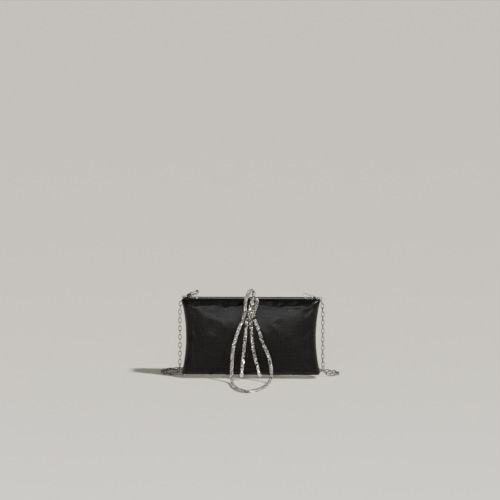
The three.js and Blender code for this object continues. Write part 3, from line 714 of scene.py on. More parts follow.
@dataclass
class SatinPanel:
    """One half's satin cover, drawn over its padding and tucked in behind the flange."""

    shape: CaseShape
    half: Half
    thickness: float = 0.6
    # The cloth run: how much larger it is run, its spare length, its steps, how often the shift is
    # averaged, the share of the wrinkles that is kept, and how far they may go in and out.
    SCALE: ClassVar[float] = 10.0
    SPARE: ClassVar[float] = 0.006
    STEPS: ClassVar[int] = 24
    SMOOTHING: ClassVar[int] = 60
    KEPT: ClassVar[float] = 0.6
    REACH: ClassVar[tuple[float, float]] = (-0.4, 0.6)
    MIDDLE_RINGS: ClassVar[int] = 3
    CLOTH: ClassVar[dict[str, float]] = {
        "quality": 6, "mass": 0.15, "tension_stiffness": 20, "compression_stiffness": 20,
        "shear_stiffness": 8, "bending_stiffness": 3.0, "shrink_min": -SPARE}
    # Folds as (x, z) to (x, z), height and width; each is mirrored to the other side.
    FOLDS: ClassVar[Array] = np.array([
        [97.0, 111.0, 70.0, 98.0, 0.9, 2.6],
        [97.0, 108.0, 78.0, 86.0, 0.7, 3.0],
        [92.0, 112.0, 60.0, 104.0, 0.45, 2.0],
        [96.0, 7.0, 74.0, 22.0, 0.7, 3.0],
        [97.0, 10.0, 84.0, 34.0, 0.5, 2.6],
        [93.0, 95.0, 86.0, 52.0, 0.5, 3.4],
        [92.0, 30.0, 84.0, 60.0, 0.4, 3.0],
    ])

    def relief(self, x: Array, z: Array) -> Array:
        """How far the cloth stands in or out at a place on the panel.

        Two long grooves part the rolled bands from the panel. Each fold is a ridge,
        height * exp(-(distance / width)^2) * sin(pi * share along it). A slow swell, a product
        of sines, keeps the rest from lying dead flat.
        """
        turn = 1 if self.half is Half.FRONT else -1
        top = np.exp(-(((z - (self.high_groove + 0.5 * np.sin(x / 23))) / 2.0) ** 2))
        bottom = np.exp(-(((z - (self.low_groove + 0.4 * np.sin(x / 19 + 2))) / 1.8) ** 2))
        ends = np.clip((self.shape.width / 2 - 5 - np.abs(x)) / 12, 0, 1)
        height = -(0.45 * top + 0.4 * bottom) * ends
        side = np.abs(x)[..., None]
        a, b = self.FOLDS[:, 0:2], self.FOLDS[:, 2:4]
        run = b - a
        wobble = 1.1 * np.sin(z / 5.5)[..., None]
        px, pz = side - a[:, 0] + wobble, z[..., None] - a[:, 1]
        share = np.clip((px * run[:, 0] + pz * run[:, 1]) / (run**2).sum(1), 0, 1)
        distance = np.hypot(px - share * run[:, 0], pz - share * run[:, 1])
        ridge = self.FOLDS[:, 4] * np.exp(-((distance / self.FOLDS[:, 5]) ** 2)) * np.sin(math.pi * share)
        lean = np.where(x * turn > 0, 1.0, 0.75)
        height += ridge.sum(-1) * lean
        swell = 0.28 * np.sin(x / 15 + z / 29 + turn) * np.sin(z / 12 - x / 51)
        return height + swell

    @property
    def high_groove(self) -> float:
        """The height of the groove under the top band."""
        return self.shape.high - 6.2

    @property
    def low_groove(self) -> float:
        """The height of the groove over the bottom band."""
        return self.shape.low + 9.4

    def build(self) -> "SatinPanel":
        """Lays rings from the panel's inner middle, round its tucked rim, to its outer middle."""
        tuck = np.linspace(0, math.pi / 2, 7)[:-1]
        rim_depth = self.shape.frame_depth + 0.3
        rim = np.stack([
            self.shape.tuck * (1 - np.sin(tuck)),
            self.shape.swell_depth - (self.shape.swell_depth - rim_depth) * np.cos(tuck)], axis=1)
        outer = np.vstack([rim, self.shape.section(0)])
        rows, skin = [], []
        for inset, depth in self.shape.section(self.thickness, steps=(8, 4))[::-1]:
            rows.append(ring(self.shape.panel_outline(inset), depth, self.half))
        rows.append(ring(self.shape.panel_outline(self.shape.tuck + self.thickness), rim_depth, self.half))
        for inset, depth in outer:
            points = self.shape.panel_outline(inset)
            fade = min(max((depth - self.shape.swell_depth) / 6, 0), 1)
            skin.append(ring(points, depth + self.relief(points[:, 0], points[:, 1]) * fade, self.half))
        shape = Shape.grid(np.array([*rows, *self.wrinkled(np.array(skin), len(rim) + 3)]), caps=False)
        self.piece = shape.piece(f"{self.half.label}_satin", Finish.SATIN, crease=80)
        self.pad = self.build_pad()
        return self

    def wrinkled(self, skin: Array, held: int) -> Array:
        """The outer skin after a cloth run: held at its rim and its middle, and cut too large.

        Only the wrinkles are kept: moved = skin + limit(shift - shift averaged over neighbours).
        Corners of the grid that share a place move together, so that the skin stays closed.

        Args:
            skin: The skin's rings, from the rim to the middle.
            held: How many rings the frame's flange holds.

        Returns:
            The rings, wrinkled.
        """
        quads = Shape.grid(skin, caps=False).blocks[0][0]
        places = np.round(skin.reshape(-1, 3) * self.SCALE, 2)
        points, first, back = np.unique(places, axis=0, return_index=True, return_inverse=True)
        back = back.reshape(-1)
        faces = back[np.concatenate([quads[:, [0, 1, 2]], quads[:, [0, 2, 3]]])]
        faces = faces[(faces != np.roll(faces, 1, axis=1)).all(axis=1)]
        mesh = bpy.data.meshes.new("cover_cloth")
        mesh.from_pydata(points * MM, [], faces.tolist())
        obj = bpy.data.objects.new("cover_cloth", mesh)
        bpy.context.scene.collection.objects.link(obj)
        rings = first // skin.shape[1]
        pinned = obj.vertex_groups.new(name="held")
        still = (rings < held) | (rings >= skin.shape[0] - self.MIDDLE_RINGS)
        pinned.add(np.flatnonzero(still).tolist(), 1.0, "REPLACE")
        cloth = obj.modifiers.new("cloth", "CLOTH")
        for name, value in self.CLOTH.items():
            setattr(cloth.settings, name, value)
        cloth.settings.vertex_group_mass = pinned.name
        cloth.settings.effector_weights.gravity = 0
        cloth.collision_settings.use_collision = False
        cloth.point_cache.frame_end = self.STEPS
        for frame in range(1, self.STEPS + 1):
            bpy.context.scene.frame_set(frame)
        settled = np.empty(len(points) * 3)
        result = obj.evaluated_get(bpy.context.evaluated_depsgraph_get()).to_mesh()
        result.vertices.foreach_get("co", settled)
        bpy.data.objects.remove(obj)
        bpy.context.scene.frame_set(1)
        shift = ((settled.reshape(-1, 3) / MM - points) / self.SCALE)[back].reshape(skin.shape)
        mean = shift
        for _ in range(self.SMOOTHING):
            mean = (np.roll(mean, 1, 1) + np.roll(mean, -1, 1) + 2 * mean) / 4
        fine = (shift - mean).reshape(-1, 3)
        shared = np.stack([np.bincount(back, fine[:, axis]) for axis in range(3)], axis=1)
        fine = (shared / np.bincount(back)[:, None])[back].reshape(skin.shape)
        shift = np.clip(fine * self.KEPT, *self.REACH)
        log.info("%s cover: wrinkles %.2f mm, at most %.2f", self.half.label,
                 float(np.abs(shift[..., 1]).std()), float(np.abs(shift).max()))
        return skin + shift

    def build_pad(self) -> bpy.types.Object:
        """The foam layer under the satin, a closed form a little inside its CAD solid."""
        rows = []
        for offset, order in ((4.4, -1), (1.6, 1)):
            section = self.shape.section(offset, steps=(9, 5))[::order]
            edge = self.shape.panel_outline(self.shape.tuck + offset)
            rim = ring(edge, self.shape.frame_depth + 0.4, self.half)
            face = [ring(self.shape.panel_outline(inset), depth, self.half) for inset, depth in section]
            rows += [*face, rim] if order < 0 else [rim, *face]
        return Shape.grid(np.array(rows), caps=False).piece(f"{self.half.label}_pad", Finish.FOAM, crease=60)

    def dress(self) -> None:
        """Joins the cover to the frame."""
        layers = ((self.piece, "satin_cover", "satin", 0.7), (self.pad, "padding", "padding", 0.9))
        for piece, node, slot, fill in layers:
            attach(piece, self.half.body)
            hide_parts(f"{self.half.label}_{node}")


@dataclass
class FrameHoop:
    """One half's chromed hoop: a thin band with a flange that the panel sits on."""

    shape: CaseShape
    half: Half
    band: float = 1.0
    flange: float = 0.8
    parting: float = 0.15
    hinge_height: float = 3.4
    hinge_depth: float = 2.2

    def build(self) -> "FrameHoop":
        """Lays the hoop's section as outlines; over the hinge the band starts further back."""
        deep = self.shape.frame_depth
        outer, inner = self.shape.frame_outline, self.shape.panel_outline(8.7, grow=0)

        def parted(points: Array, back: float = 0.0) -> Array:
            """A ring on the parting plane, set back where the hinge lies."""
            low = points[:, 1] < self.hinge_height
            return ring(points, np.where(low, self.hinge_depth, self.parting) + back, self.half)

        rows = [
            parted(outer(0.18)), parted(outer(0), 0.18),
            ring(outer(0), deep - 0.3, self.half), ring(outer(0.09), deep - 0.09, self.half),
            ring(outer(0.3), deep, self.half), ring(inner, deep, self.half),
            ring(inner, deep - self.flange, self.half),
            ring(outer(self.band), deep - self.flange, self.half), parted(outer(self.band)),
        ]
        shape = Shape.grid(np.array(rows), wrap=(True, True))
        self.piece = shape.piece(f"{self.half.label}_frame", Finish.CHROME, crease=40)
        return self

    def dress(self) -> None:
        """Joins the hoop to the frame."""
        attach(self.piece, self.half.body)
        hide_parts(f"{self.half.label}_hoop")


@dataclass
class LiningTray:
    """The cloth-covered tray inside one half, with its lip turned over the band."""

    shape: CaseShape
    half: Half
    offset: float = 6.1
    thickness: float = 0.8
    wall_inset: float = 9.0
    lip_depth: float = 0.9
    lip_low: float = 3.6

    def wall(self, offset: float, inset: float, depth: float) -> list[Array]:
        """Rings from the wall's foot at an inset and depth to the tray's middle."""
        round_inset = self.shape.shoulder_inset
        start = math.acos((round_inset - inset) / (round_inset - offset))
        section = np.vstack([[inset, depth], self.shape.section(offset, start, (12, 8))])
        return [ring(self.shape.panel_outline(d, grow=0.3), t, self.half) for d, t in section]

    def build(self) -> "LiningTray":
        """Lays rings over the tray's inner face, round its lip and under its outer face."""
        lip = self.shape.frame_outline(1.3, self.lip_low)
        soft = self.shape.frame_outline(1.5, self.lip_low + 0.2)
        under = self.lip_depth + self.thickness
        inner = self.wall(self.offset + self.thickness, self.wall_inset + self.thickness, self.lip_depth)
        outer = self.wall(self.offset, self.wall_inset, under)
        rows = [*inner[::-1], ring(soft, self.lip_depth, self.half),
                ring(lip, self.lip_depth + 0.2, self.half), ring(lip, under, self.half), *outer]
        self.piece = Shape.grid(np.array(rows), caps=False).piece(
            f"{self.half.label}_lining", Finish.LINING, crease=50)
        return self

    def dress(self) -> None:
        """Joins the lining to the frame."""
        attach(self.piece, self.half.body)
        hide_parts(f"{self.half.label}_lining_tray")


@dataclass
class SlipPocket:
    """A pocket of lining cloth sewn to the rear tray, with a turned hem and a row of stitches."""

    thickness: float = 0.5
    hem: float = 7.0
    stitch: float = 2.4

    def build(self) -> "SlipPocket":
        """Lays the pocket as a grid over X and Z whose sewn edges lean back to the lining."""
        low, high = node_box("slip_pocket")
        u, v = np.meshgrid(np.linspace(-1, 1, 61), np.linspace(0, 1, 41))
        x = (low[0] + high[0]) / 2 + u * (high[0] - low[0]) / 2
        z = low[2] + v * (high[2] - low[2])
        sewn = np.maximum(np.clip((np.abs(u) - 0.93) / 0.07, 0, 1), np.clip((0.08 - v) / 0.08, 0, 1))
        ease = 0.25 * np.sin(u * 7 + 1) * np.sin(v * 5) * (1 - sewn)
        hem = np.clip((z - (high[2] - self.hem)) / 0.6, 0, 1)
        face = low[1] + 0.45 + 2.4 * sewn**2 + ease - 0.3 * hem
        front = np.stack([x, face, z], axis=-1)
        back = front + [0, self.thickness, 0] * np.ones_like(front)
        edge = np.concatenate([front, back[:, ::-1]], axis=1)
        cloth = Shape.grid(edge, caps=True)
        count = int((high[0] - low[0] - 6) / self.stitch)
        places = np.linspace(low[0] + 4, high[0] - 4, count)
        depth = np.interp(places, x[0], face[-8])
        stitches = [rod([p - 0.7, d - 0.1, high[2] - self.hem + 0.6],
                        [p + 0.7, d - 0.1, high[2] - self.hem + 0.6], 0.16, 0.08)
                    for p, d in zip(places, depth)]
        self.piece = cloth.piece("pocket_cloth", Finish.LINING)
        self.seam = Shape.join(stitches).piece("pocket_stitches", Finish.THREAD)
        self.flat = ((high[0] - low[0]) * MM, (high[2] - low[2]) * MM)
        return self

    def dress(self) -> None:
        """Joins the pocket to the rear half."""
        for piece in (self.piece, self.seam):
            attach(piece, Half.REAR.body)
        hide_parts("slip_pocket")


@dataclass
class Gusset:
    """A folded strip of cloth between the halves at one side, wider towards its top."""

    side: int
    name: str
    thickness: float = 0.25
    hinge_height: float = 1.6
    fold_share: float = 0.38

    def build(self) -> "Gusset":
        """Lays the strip over height and the way across its fold, t from -1 to 1.

        y = reach * t, and x runs from the edge inwards by fold_share * (z - hinge height) *
        (1 - |t|), with a rounded fold.
        """
        low, high = node_box(self.name)
        edge = max(abs(low[0]), abs(high[0]))
        z, t = np.meshgrid(np.linspace(low[2], high[2], 33), np.linspace(-1, 1, 33), indexing="ij")
        depth = self.fold_share * (z - self.hinge_height)
        fold = 1 - np.sqrt(t**2 + 0.0025)
        x = edge - depth * fold
        y = high[1] * t
        skin = np.stack([self.side * x, y, z], axis=-1)
        back = skin.copy()
        back[..., 0] -= self.side * self.thickness
        loop = np.concatenate([skin, back[:, ::-1]], axis=1)
        self.piece = Shape.grid(loop).piece(f"{self.name}_cloth", Finish.GUSSET, crease=60)
        widths = 2 * self.fold_share * (np.array([low[2], high[2]]) - self.hinge_height)
        self.flat = (widths[1] * MM, (high[2] - low[2]) * MM)
        self.area = widths.mean() * (high[2] - low[2]) * MM**2
        self.reach = high[1] * MM
        return self

    def dress(self) -> None:
        """Puts the gusset in place of its CAD node, its place baked into its mesh."""
        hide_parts(self.name)
        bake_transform(self.piece)


# ---- Metal fittings -------------------------------------------------------------------------


# Rows are the new axes of a shape made about +Z, for an axle along X or along Y.
ALONG_X = np.array([[0, 1, 0], [0, 0, 1], [1, 0, 0]], float)
ALONG_Y = np.array([[1, 0, 0], [0, 0, 1], [0, 1, 0]], float)


@dataclass
class RailPost:
    """A riveted post on the top rail, with a kiss-lock ball or a chain eye on it."""

    name: str
    half: Half
    x: float
    depth: float = 3.4
    rail: float = 115.0
    eye_axis: Array | None = None

    def foot(self) -> list[Shape]:
        """The rivet's head under the band, its shank and its flange."""
        under, over = self.rail - 1.12, self.rail + 0.12
        profile = [(0.1, under - 0.7), (1.1, under - 0.7), (1.4, under - 0.45), (1.4, under),
                   (1.0, under), (1.0, over), (2.0, over), (2.2, over + 0.15), (2.2, over + 0.4),
                   (1.9, over + 0.62), (1.2, over + 0.8), (1.0, over + 1.2)]
        place = np.array([self.x, self.half.value * self.depth, 0.0])
        return [lathe(profile).moved(np.eye(3), place)]

    def build(self) -> "RailPost":
        """Adds the ball on its leaning neck, or the eye on its stem."""
        y = self.half.value * self.depth
        parts = self.foot()
        if self.eye_axis is None:
            top = self.rail + 5.7
            a = np.linspace(-math.pi / 2 + 0.02, math.pi / 2 - 0.02, 25)
            ball = lathe(list(zip(3.2 * np.cos(a), 3.2 * np.sin(a))), 40)
            parts += [rod([self.x, y, self.rail + 0.6], [self.x, self.half.value * 0.6, top], 1.0),
                      ball.moved(np.eye(3), np.array([self.x, 0.0, top]))]
        else:
            centre = np.array([self.x, y, self.rail + 6.2])
            stem = [(1.0, self.rail + 0.6), (0.95, self.rail + 2.0), (1.15, self.rail + 2.9),
                    (0.8, self.rail + 3.5)]
            parts += [torus(2.6, 0.7).moved(self.eye_axis, centre),
                      lathe(stem).moved(np.eye(3), np.array([self.x, y, 0.0]))]
        self.piece = Shape.join(parts).piece(self.name, Finish.CHROME)
        return self

    def dress(self, node: str) -> None:
        """Joins the post to its half in place of a CAD node."""
        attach(self.piece, self.half.body)
        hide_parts(node)


def softened(node: str, finish: Finish, soft: float) -> bpy.types.Object:
    """A piece with a CAD node's own shape, its sharp edges rounded off.

    Args:
        node: The CAD node that it stands for.
        finish: Its material.
        soft: The width of the rounding, in millimetres.

    Returns:
        The new object.
    """
    work = bmesh.new()
    work.from_mesh(bpy.data.objects[node].data)
    work.transform(bpy.data.objects[node].matrix_world)
    bmesh.ops.remove_doubles(work, verts=work.verts, dist=1e-7)
    bmesh.ops.dissolve_limit(work, angle_limit=math.radians(2), verts=work.verts, edges=work.edges)
    sharp = [edge for edge in work.edges
             if len(edge.link_faces) == 2 and edge.calc_face_angle(0) > math.radians(35)]
    bmesh.ops.bevel(work, geom=sharp, offset=soft * MM, segments=2, profile=0.6,
                    affect="EDGES", clamp_overlap=True)
    mesh = bpy.data.meshes.new(f"{node}_metal")
    work.to_mesh(mesh)
    work.free()
    mesh.materials.append(finish.material())
    mesh.shade_smooth()
    mesh.set_sharp_from_angle(angle=math.radians(32))
    obj = bpy.data.objects.new(f"{node}_metal", mesh)
    bpy.context.scene.collection.objects.link(obj)
    log.info("%s: %d faces", obj.name, len(mesh.polygons))
    return obj


@dataclass
class LobsterClaw:
    """One claw: body, sprung trigger and swivel, on its side's chain post."""

    side: str

    def build(self) -> "LobsterClaw":
        """Rounds off the claw's stamped pieces."""
        names = {"claw_body": 0.32, "claw_trigger": 0.18, "swivel": 0.12}
        self.pieces = {part: softened(f"{self.side}_{part}", Finish.CLAW, soft)
                       for part, soft in names.items()}
        return self

    def dress(self) -> None:
        """Joins each piece to its body."""
        bodies = {"claw_trigger": f"{self.side}_trigger"}
        for part, piece in self.pieces.items():
            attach(piece, bodies.get(part, Half.REAR.body))
            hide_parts(f"{self.side}_{part}")


# ---- Shoulder chain -------------------------------------------------------------------------


@dataclass
class ShoulderChain:
    """A cable chain from claw to claw, its spare length folded into a tied hank."""

    pitch: float = 6.1
    link: tuple[float, float] = (8.5, 5.3)
    wire: float = 1.45
    straight: float = 70.0
    radius: float = 13.5
    centre: tuple[float, float] = (0.0, 46.0)
    first_layer: float = 3.55
    layer_rise: float = 5.0
    diameter: float = 5.4
    LEFT: ClassVar = [
        [-101.3, 5.4, 110.1], [-102.9, 5.5, 101], [-103.3, 5.8, 80], [-103.3, 6, 45],
        [-103.6, 6.2, 20], [-105.2, 7, 8.4], [-111, 8.2, 3.6], [-119, 11, 2.75],
        [-127.6, 18, 2.75], [-131.4, 29, 2.75], [-129, 41, 2.75], [-119, 50.5, 2.75],
        [-102, 56, 2.75], [-78, 58.8, 2.75], [-48, 59.5, 3.5]]
    RIGHT: ClassVar = [
        [101.6, 3.7, 109.4], [102.9, 4.4, 101], [103.3, 5.2, 80], [103.3, 5.4, 45],
        [103.6, 5.4, 20], [105, 5.2, 8.8], [110, 5.8, 3.9], [117, 8, 2.75], [123.6, 14, 2.75],
        [125.6, 22.5, 2.75], [121.5, 32, 2.75], [110, 40.5, 2.75], [92, 48, 2.75],
        [72, 55, 5], [48, 59.5, 13.2]]
    RINGS: ClassVar = {"left": (-97.505, 5.162, 115.116), "right": (99.831, 3.4, 113.436)}

    def hank(self) -> Array:
        """The hank's turns: two and a half laps of a stadium that rises a layer in each lap.

        The way s along a lap runs over the rear straight, the right half circle, the front
        straight and the left half circle; the rise happens off the rear straight.
        """
        half, bow = self.straight / 2, math.pi * self.radius
        lap = 2 * (self.straight + bow)
        s = np.arange(0, 2 * lap + self.straight, 1.0)
        turn, way = np.divmod(s, lap)
        way_back = way - self.straight - bow
        right = np.clip((way - self.straight) / self.radius, 0, math.pi)
        left = np.clip((way_back - self.straight) / self.radius, 0, math.pi)
        angle = math.pi / 2 - right - left
        x = (np.clip(way, 0, self.straight) - half) - np.clip(way_back, 0, self.straight)
        x = x + self.radius * np.cos(angle)
        y = self.radius * np.sin(angle)
        share = np.clip((way - self.straight) / (lap - self.straight), 0, 1)
        z = self.first_layer + self.layer_rise * (turn + share)
        return np.stack([x + self.centre[0], y + self.centre[1], z], axis=1)

    def route(self) -> Array:
        """The whole centreline, from inside the left swivel ring to inside the right one."""
        left, right = smooth_curve(self.LEFT), smooth_curve(self.RIGHT)
        hooked = []
        for line, side in ((left, "left"), (right, "right")):
            centre = np.array(self.RINGS[side])
            hooked.append(centre + unit(line[0] - centre) * 1.7)
        return np.vstack([hooked[0], left[:-1], self.hank(), right[::-1][1:], hooked[1]])

    def link_shape(self) -> Shape:
        """One oval link in its own plane: along X, flat in Y, its normal Z.

        Its wire's centre runs round a stadium: x = a * sign + r cos p, y = r sin p.
        """
        r = (self.link[1] - self.wire) / 2
        a = (self.link[0] - self.link[1]) / 2
        p = (np.arange(20) + 0.5) / 20 * TURN
        out = np.stack([np.cos(p), np.sin(p), 0 * p], axis=1)
        line = out * r + np.stack([a * np.sign(np.cos(p)), 0 * p, 0 * p], axis=1)
        q = np.arange(8) / 8 * TURN
        tube = (out[:, None] * np.cos(q)[:, None] + np.array([0, 0, 1]) * np.sin(q)[:, None])
        return Shape.grid(line[:, None] + tube * self.wire / 2, wrap=(True, True))

    def build(self) -> "ShoulderChain":
        """Sets a link at every pitch, each a quarter turn from the last."""
        line = self.route()
        self.path = Path(line, 2.0, normal=(1, 0, 0))
        count = round(self.path.length / self.pitch)
        fine = Path(line, self.path.length / (2 * count), normal=(1, 0, 0))
        picked = slice(1, 2 * count, 2)
        centres, along = fine.points[picked], fine.tangents[picked]
        normals, sides = fine.normals[picked], fine.sides[picked]
        lying = np.clip((22 - centres[:, 2]) / 16, 0, 1)
        twist = np.arange(len(centres)) % 2 * math.pi / 2 + lying * math.pi / 4
        cos, sin = np.cos(twist)[:, None], np.sin(twist)[:, None]
        up = normals * cos + sides * sin
        across = np.cross(up, along)
        link = self.link_shape()
        axes = np.stack([along, across, up], axis=1)
        points = np.einsum("vk,nkc->nvc", link.points, axes) + centres[:, None]
        quads = link.blocks[0][0]
        faces = quads[None] + (np.arange(len(centres)) * len(link.points))[:, None, None]
        chain = Shape(points.reshape(-1, 3), [(faces.reshape(-1, 4), 0)])
        self.piece = chain.piece("shoulder_chain", Finish.CHAIN, crease=60)
        self.tie = self.build_tie()
        return self

    def build_tie(self) -> bpy.types.Object:
        """A ribbon round the rear side of the hank, with a small flat knot on top."""
        low, high = node_box("hank_tie")
        middle = (low + high) / 2
        half_y, half_z = (high[1] - low[1]) / 2 - 0.25, (high[2] - low[2]) / 2 - 0.25
        a = np.arange(64) / 64 * TURN
        y = half_y * np.sign(np.cos(a)) * np.abs(np.cos(a)) ** 0.35
        z = half_z * np.sign(np.sin(a)) * np.abs(np.sin(a)) ** 0.35
        rows = []
        for x, grow in ((low[0], -0.1), (low[0] + 0.3, 0.2), (high[0] - 0.3, 0.2),
                        (high[0], -0.1), (high[0] - 0.3, -0.3), (low[0] + 0.3, -0.3)):
            rows.append(np.stack([x + 0 * a, y * (1 + grow / half_y), z * (1 + grow / half_z)], axis=1))
        band = Shape.grid(np.array(rows) + [0, middle[1], middle[2]], wrap=(True, True))
        knot = rounded_box([-1.9, middle[1] - 1.6, high[2] - 0.5], [1.9, middle[1] + 1.6, high[2] + 1.1], 0.5)
        tails = [rounded_box([-2 + 3 * k - 1.2, middle[1] - 1.5 - 6.0 * (k == 0), high[2] - 0.2],
                             [-2 + 3 * k + 1.4, middle[1] + 1.5 + 6.0 * (k == 1), high[2] + 0.3], 0.1)
                 for k in (0, 1)]
        return Shape.join([band, knot, *tails]).piece("hank_ribbon", Finish.RIBBON)

    def dress(self) -> None:
        """Joins the chain and its tie to the rear half in place of their CAD nodes."""
        for piece, slot in ((self.piece, "chain"), (self.tie, "ribbon")):
            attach(piece, Half.REAR.body)
        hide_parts("shoulder_chain_left", "shoulder_chain_right", "shoulder_chain_hank")
        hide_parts("hank_tie")
        tuple(self.path.points[0] * MM)
        (self.path.points * MM).tolist()


# ---- Rhinestone rope ------------------------------------------------------------------------


@dataclass
class StoneRope:
    """A round rope set all over with faceted stones on a metal mesh."""

    name: str
    points: list[list[float]]
    seed: int
    blend: bool = False
    core: float = 1.95
    pitch: float = 1.85
    around: int = 6
    stone: float = 0.98
    diameter: float = 5.0

    def stone_shape(self) -> Shape:
        """One stone: a foot, a girdle and a table, each an octagon, with its axis along Z."""
        angle = np.arange(8) / 8 * TURN
        rings = [(self.stone * 0.96, 0.0, 0.0), (self.stone, 0.2, 0.0), (self.stone * 0.56, 0.58, 0.5)]
        rows = [np.stack([r * np.cos(angle + twist * TURN / 8), r * np.sin(angle + twist * TURN / 8),
                          h + 0 * angle], axis=1) for r, h, twist in rings]
        return Shape.grid(np.array(rows), material=1)

    def strand(self, path: Path) -> Shape:
        """The core, closed with round ends, and a stone at each place of a close spiral."""
        rng = np.random.default_rng(self.seed)
        ends = np.minimum(path.along, path.length - path.along)
        taper = np.sqrt(np.clip(1 - (1 - np.clip(ends / self.core, 0, 1)) ** 2, 0.02, 1))
        core = path.tube(self.core * taper, 14)
        rows = max(2, round((path.length - 1.2) / self.pitch))
        s = np.repeat(np.linspace(0.6, path.length - 0.6, rows), self.around)
        k = np.tile(np.arange(self.around), rows)
        row = np.repeat(np.arange(rows), self.around)
        angle = (k + 0.5 * (row % 2)) / self.around * TURN + row * 0.035
        centre, along, normal, side = (
            np.stack([np.interp(s, path.along, values[:, c]) for c in range(3)], axis=1)
            for values in (path.points, path.tangents, path.normals, path.sides))
        cos, sin = np.cos(angle)[:, None], np.sin(angle)[:, None]
        out = unit(normal * cos + side * sin)
        around = np.cross(out, along)
        out = unit(out + along * rng.normal(0, 0.22, (len(s), 1)) + around * rng.normal(0, 0.22, (len(s), 1)))
        around = unit(np.cross(out, along))
        stone = self.stone_shape()
        axes = np.stack([np.cross(around, out), around, out], axis=1)
        seat = centre + out * (self.core - 0.08)
        points = np.einsum("vk,nkc->nvc", stone.points, axes) + seat[:, None]
        starts = (np.arange(len(s)) * len(stone.points))[:, None, None]
        blocks = [((faces[None] + starts).reshape(-1, faces.shape[1]), 1) for faces, _ in stone.blocks]
        # Random brightness per stone: painted sparkle, bright stones for glints and dark ones for stones that
        # mirror darkness.
        tones = np.repeat(rng.beta(0.5, 0.45, len(s)), len(stone.points))
        return Shape.join([core, Shape(points.reshape(-1, 3), blocks, tones)])

    def build(self) -> "StoneRope":
        """Makes the rope along its route."""
        self.path = Path(smooth_curve(self.points), 1.0)
        self.piece = self.strand(self.path).piece(f"{self.name}_rope", Finish.CORE, Finish.CRYSTAL, crease=20)
        return self

    def dress(self, far_end: str, with_pieces: Sequence[bpy.types.Object] = ()) -> None:
        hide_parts(self.name)
        if self.blend:
            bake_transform(self.piece)
        else:
            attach(self.piece, Half.FRONT.body)
        tuple(self.path.points[0] * MM)
        (self.path.points * MM).tolist()


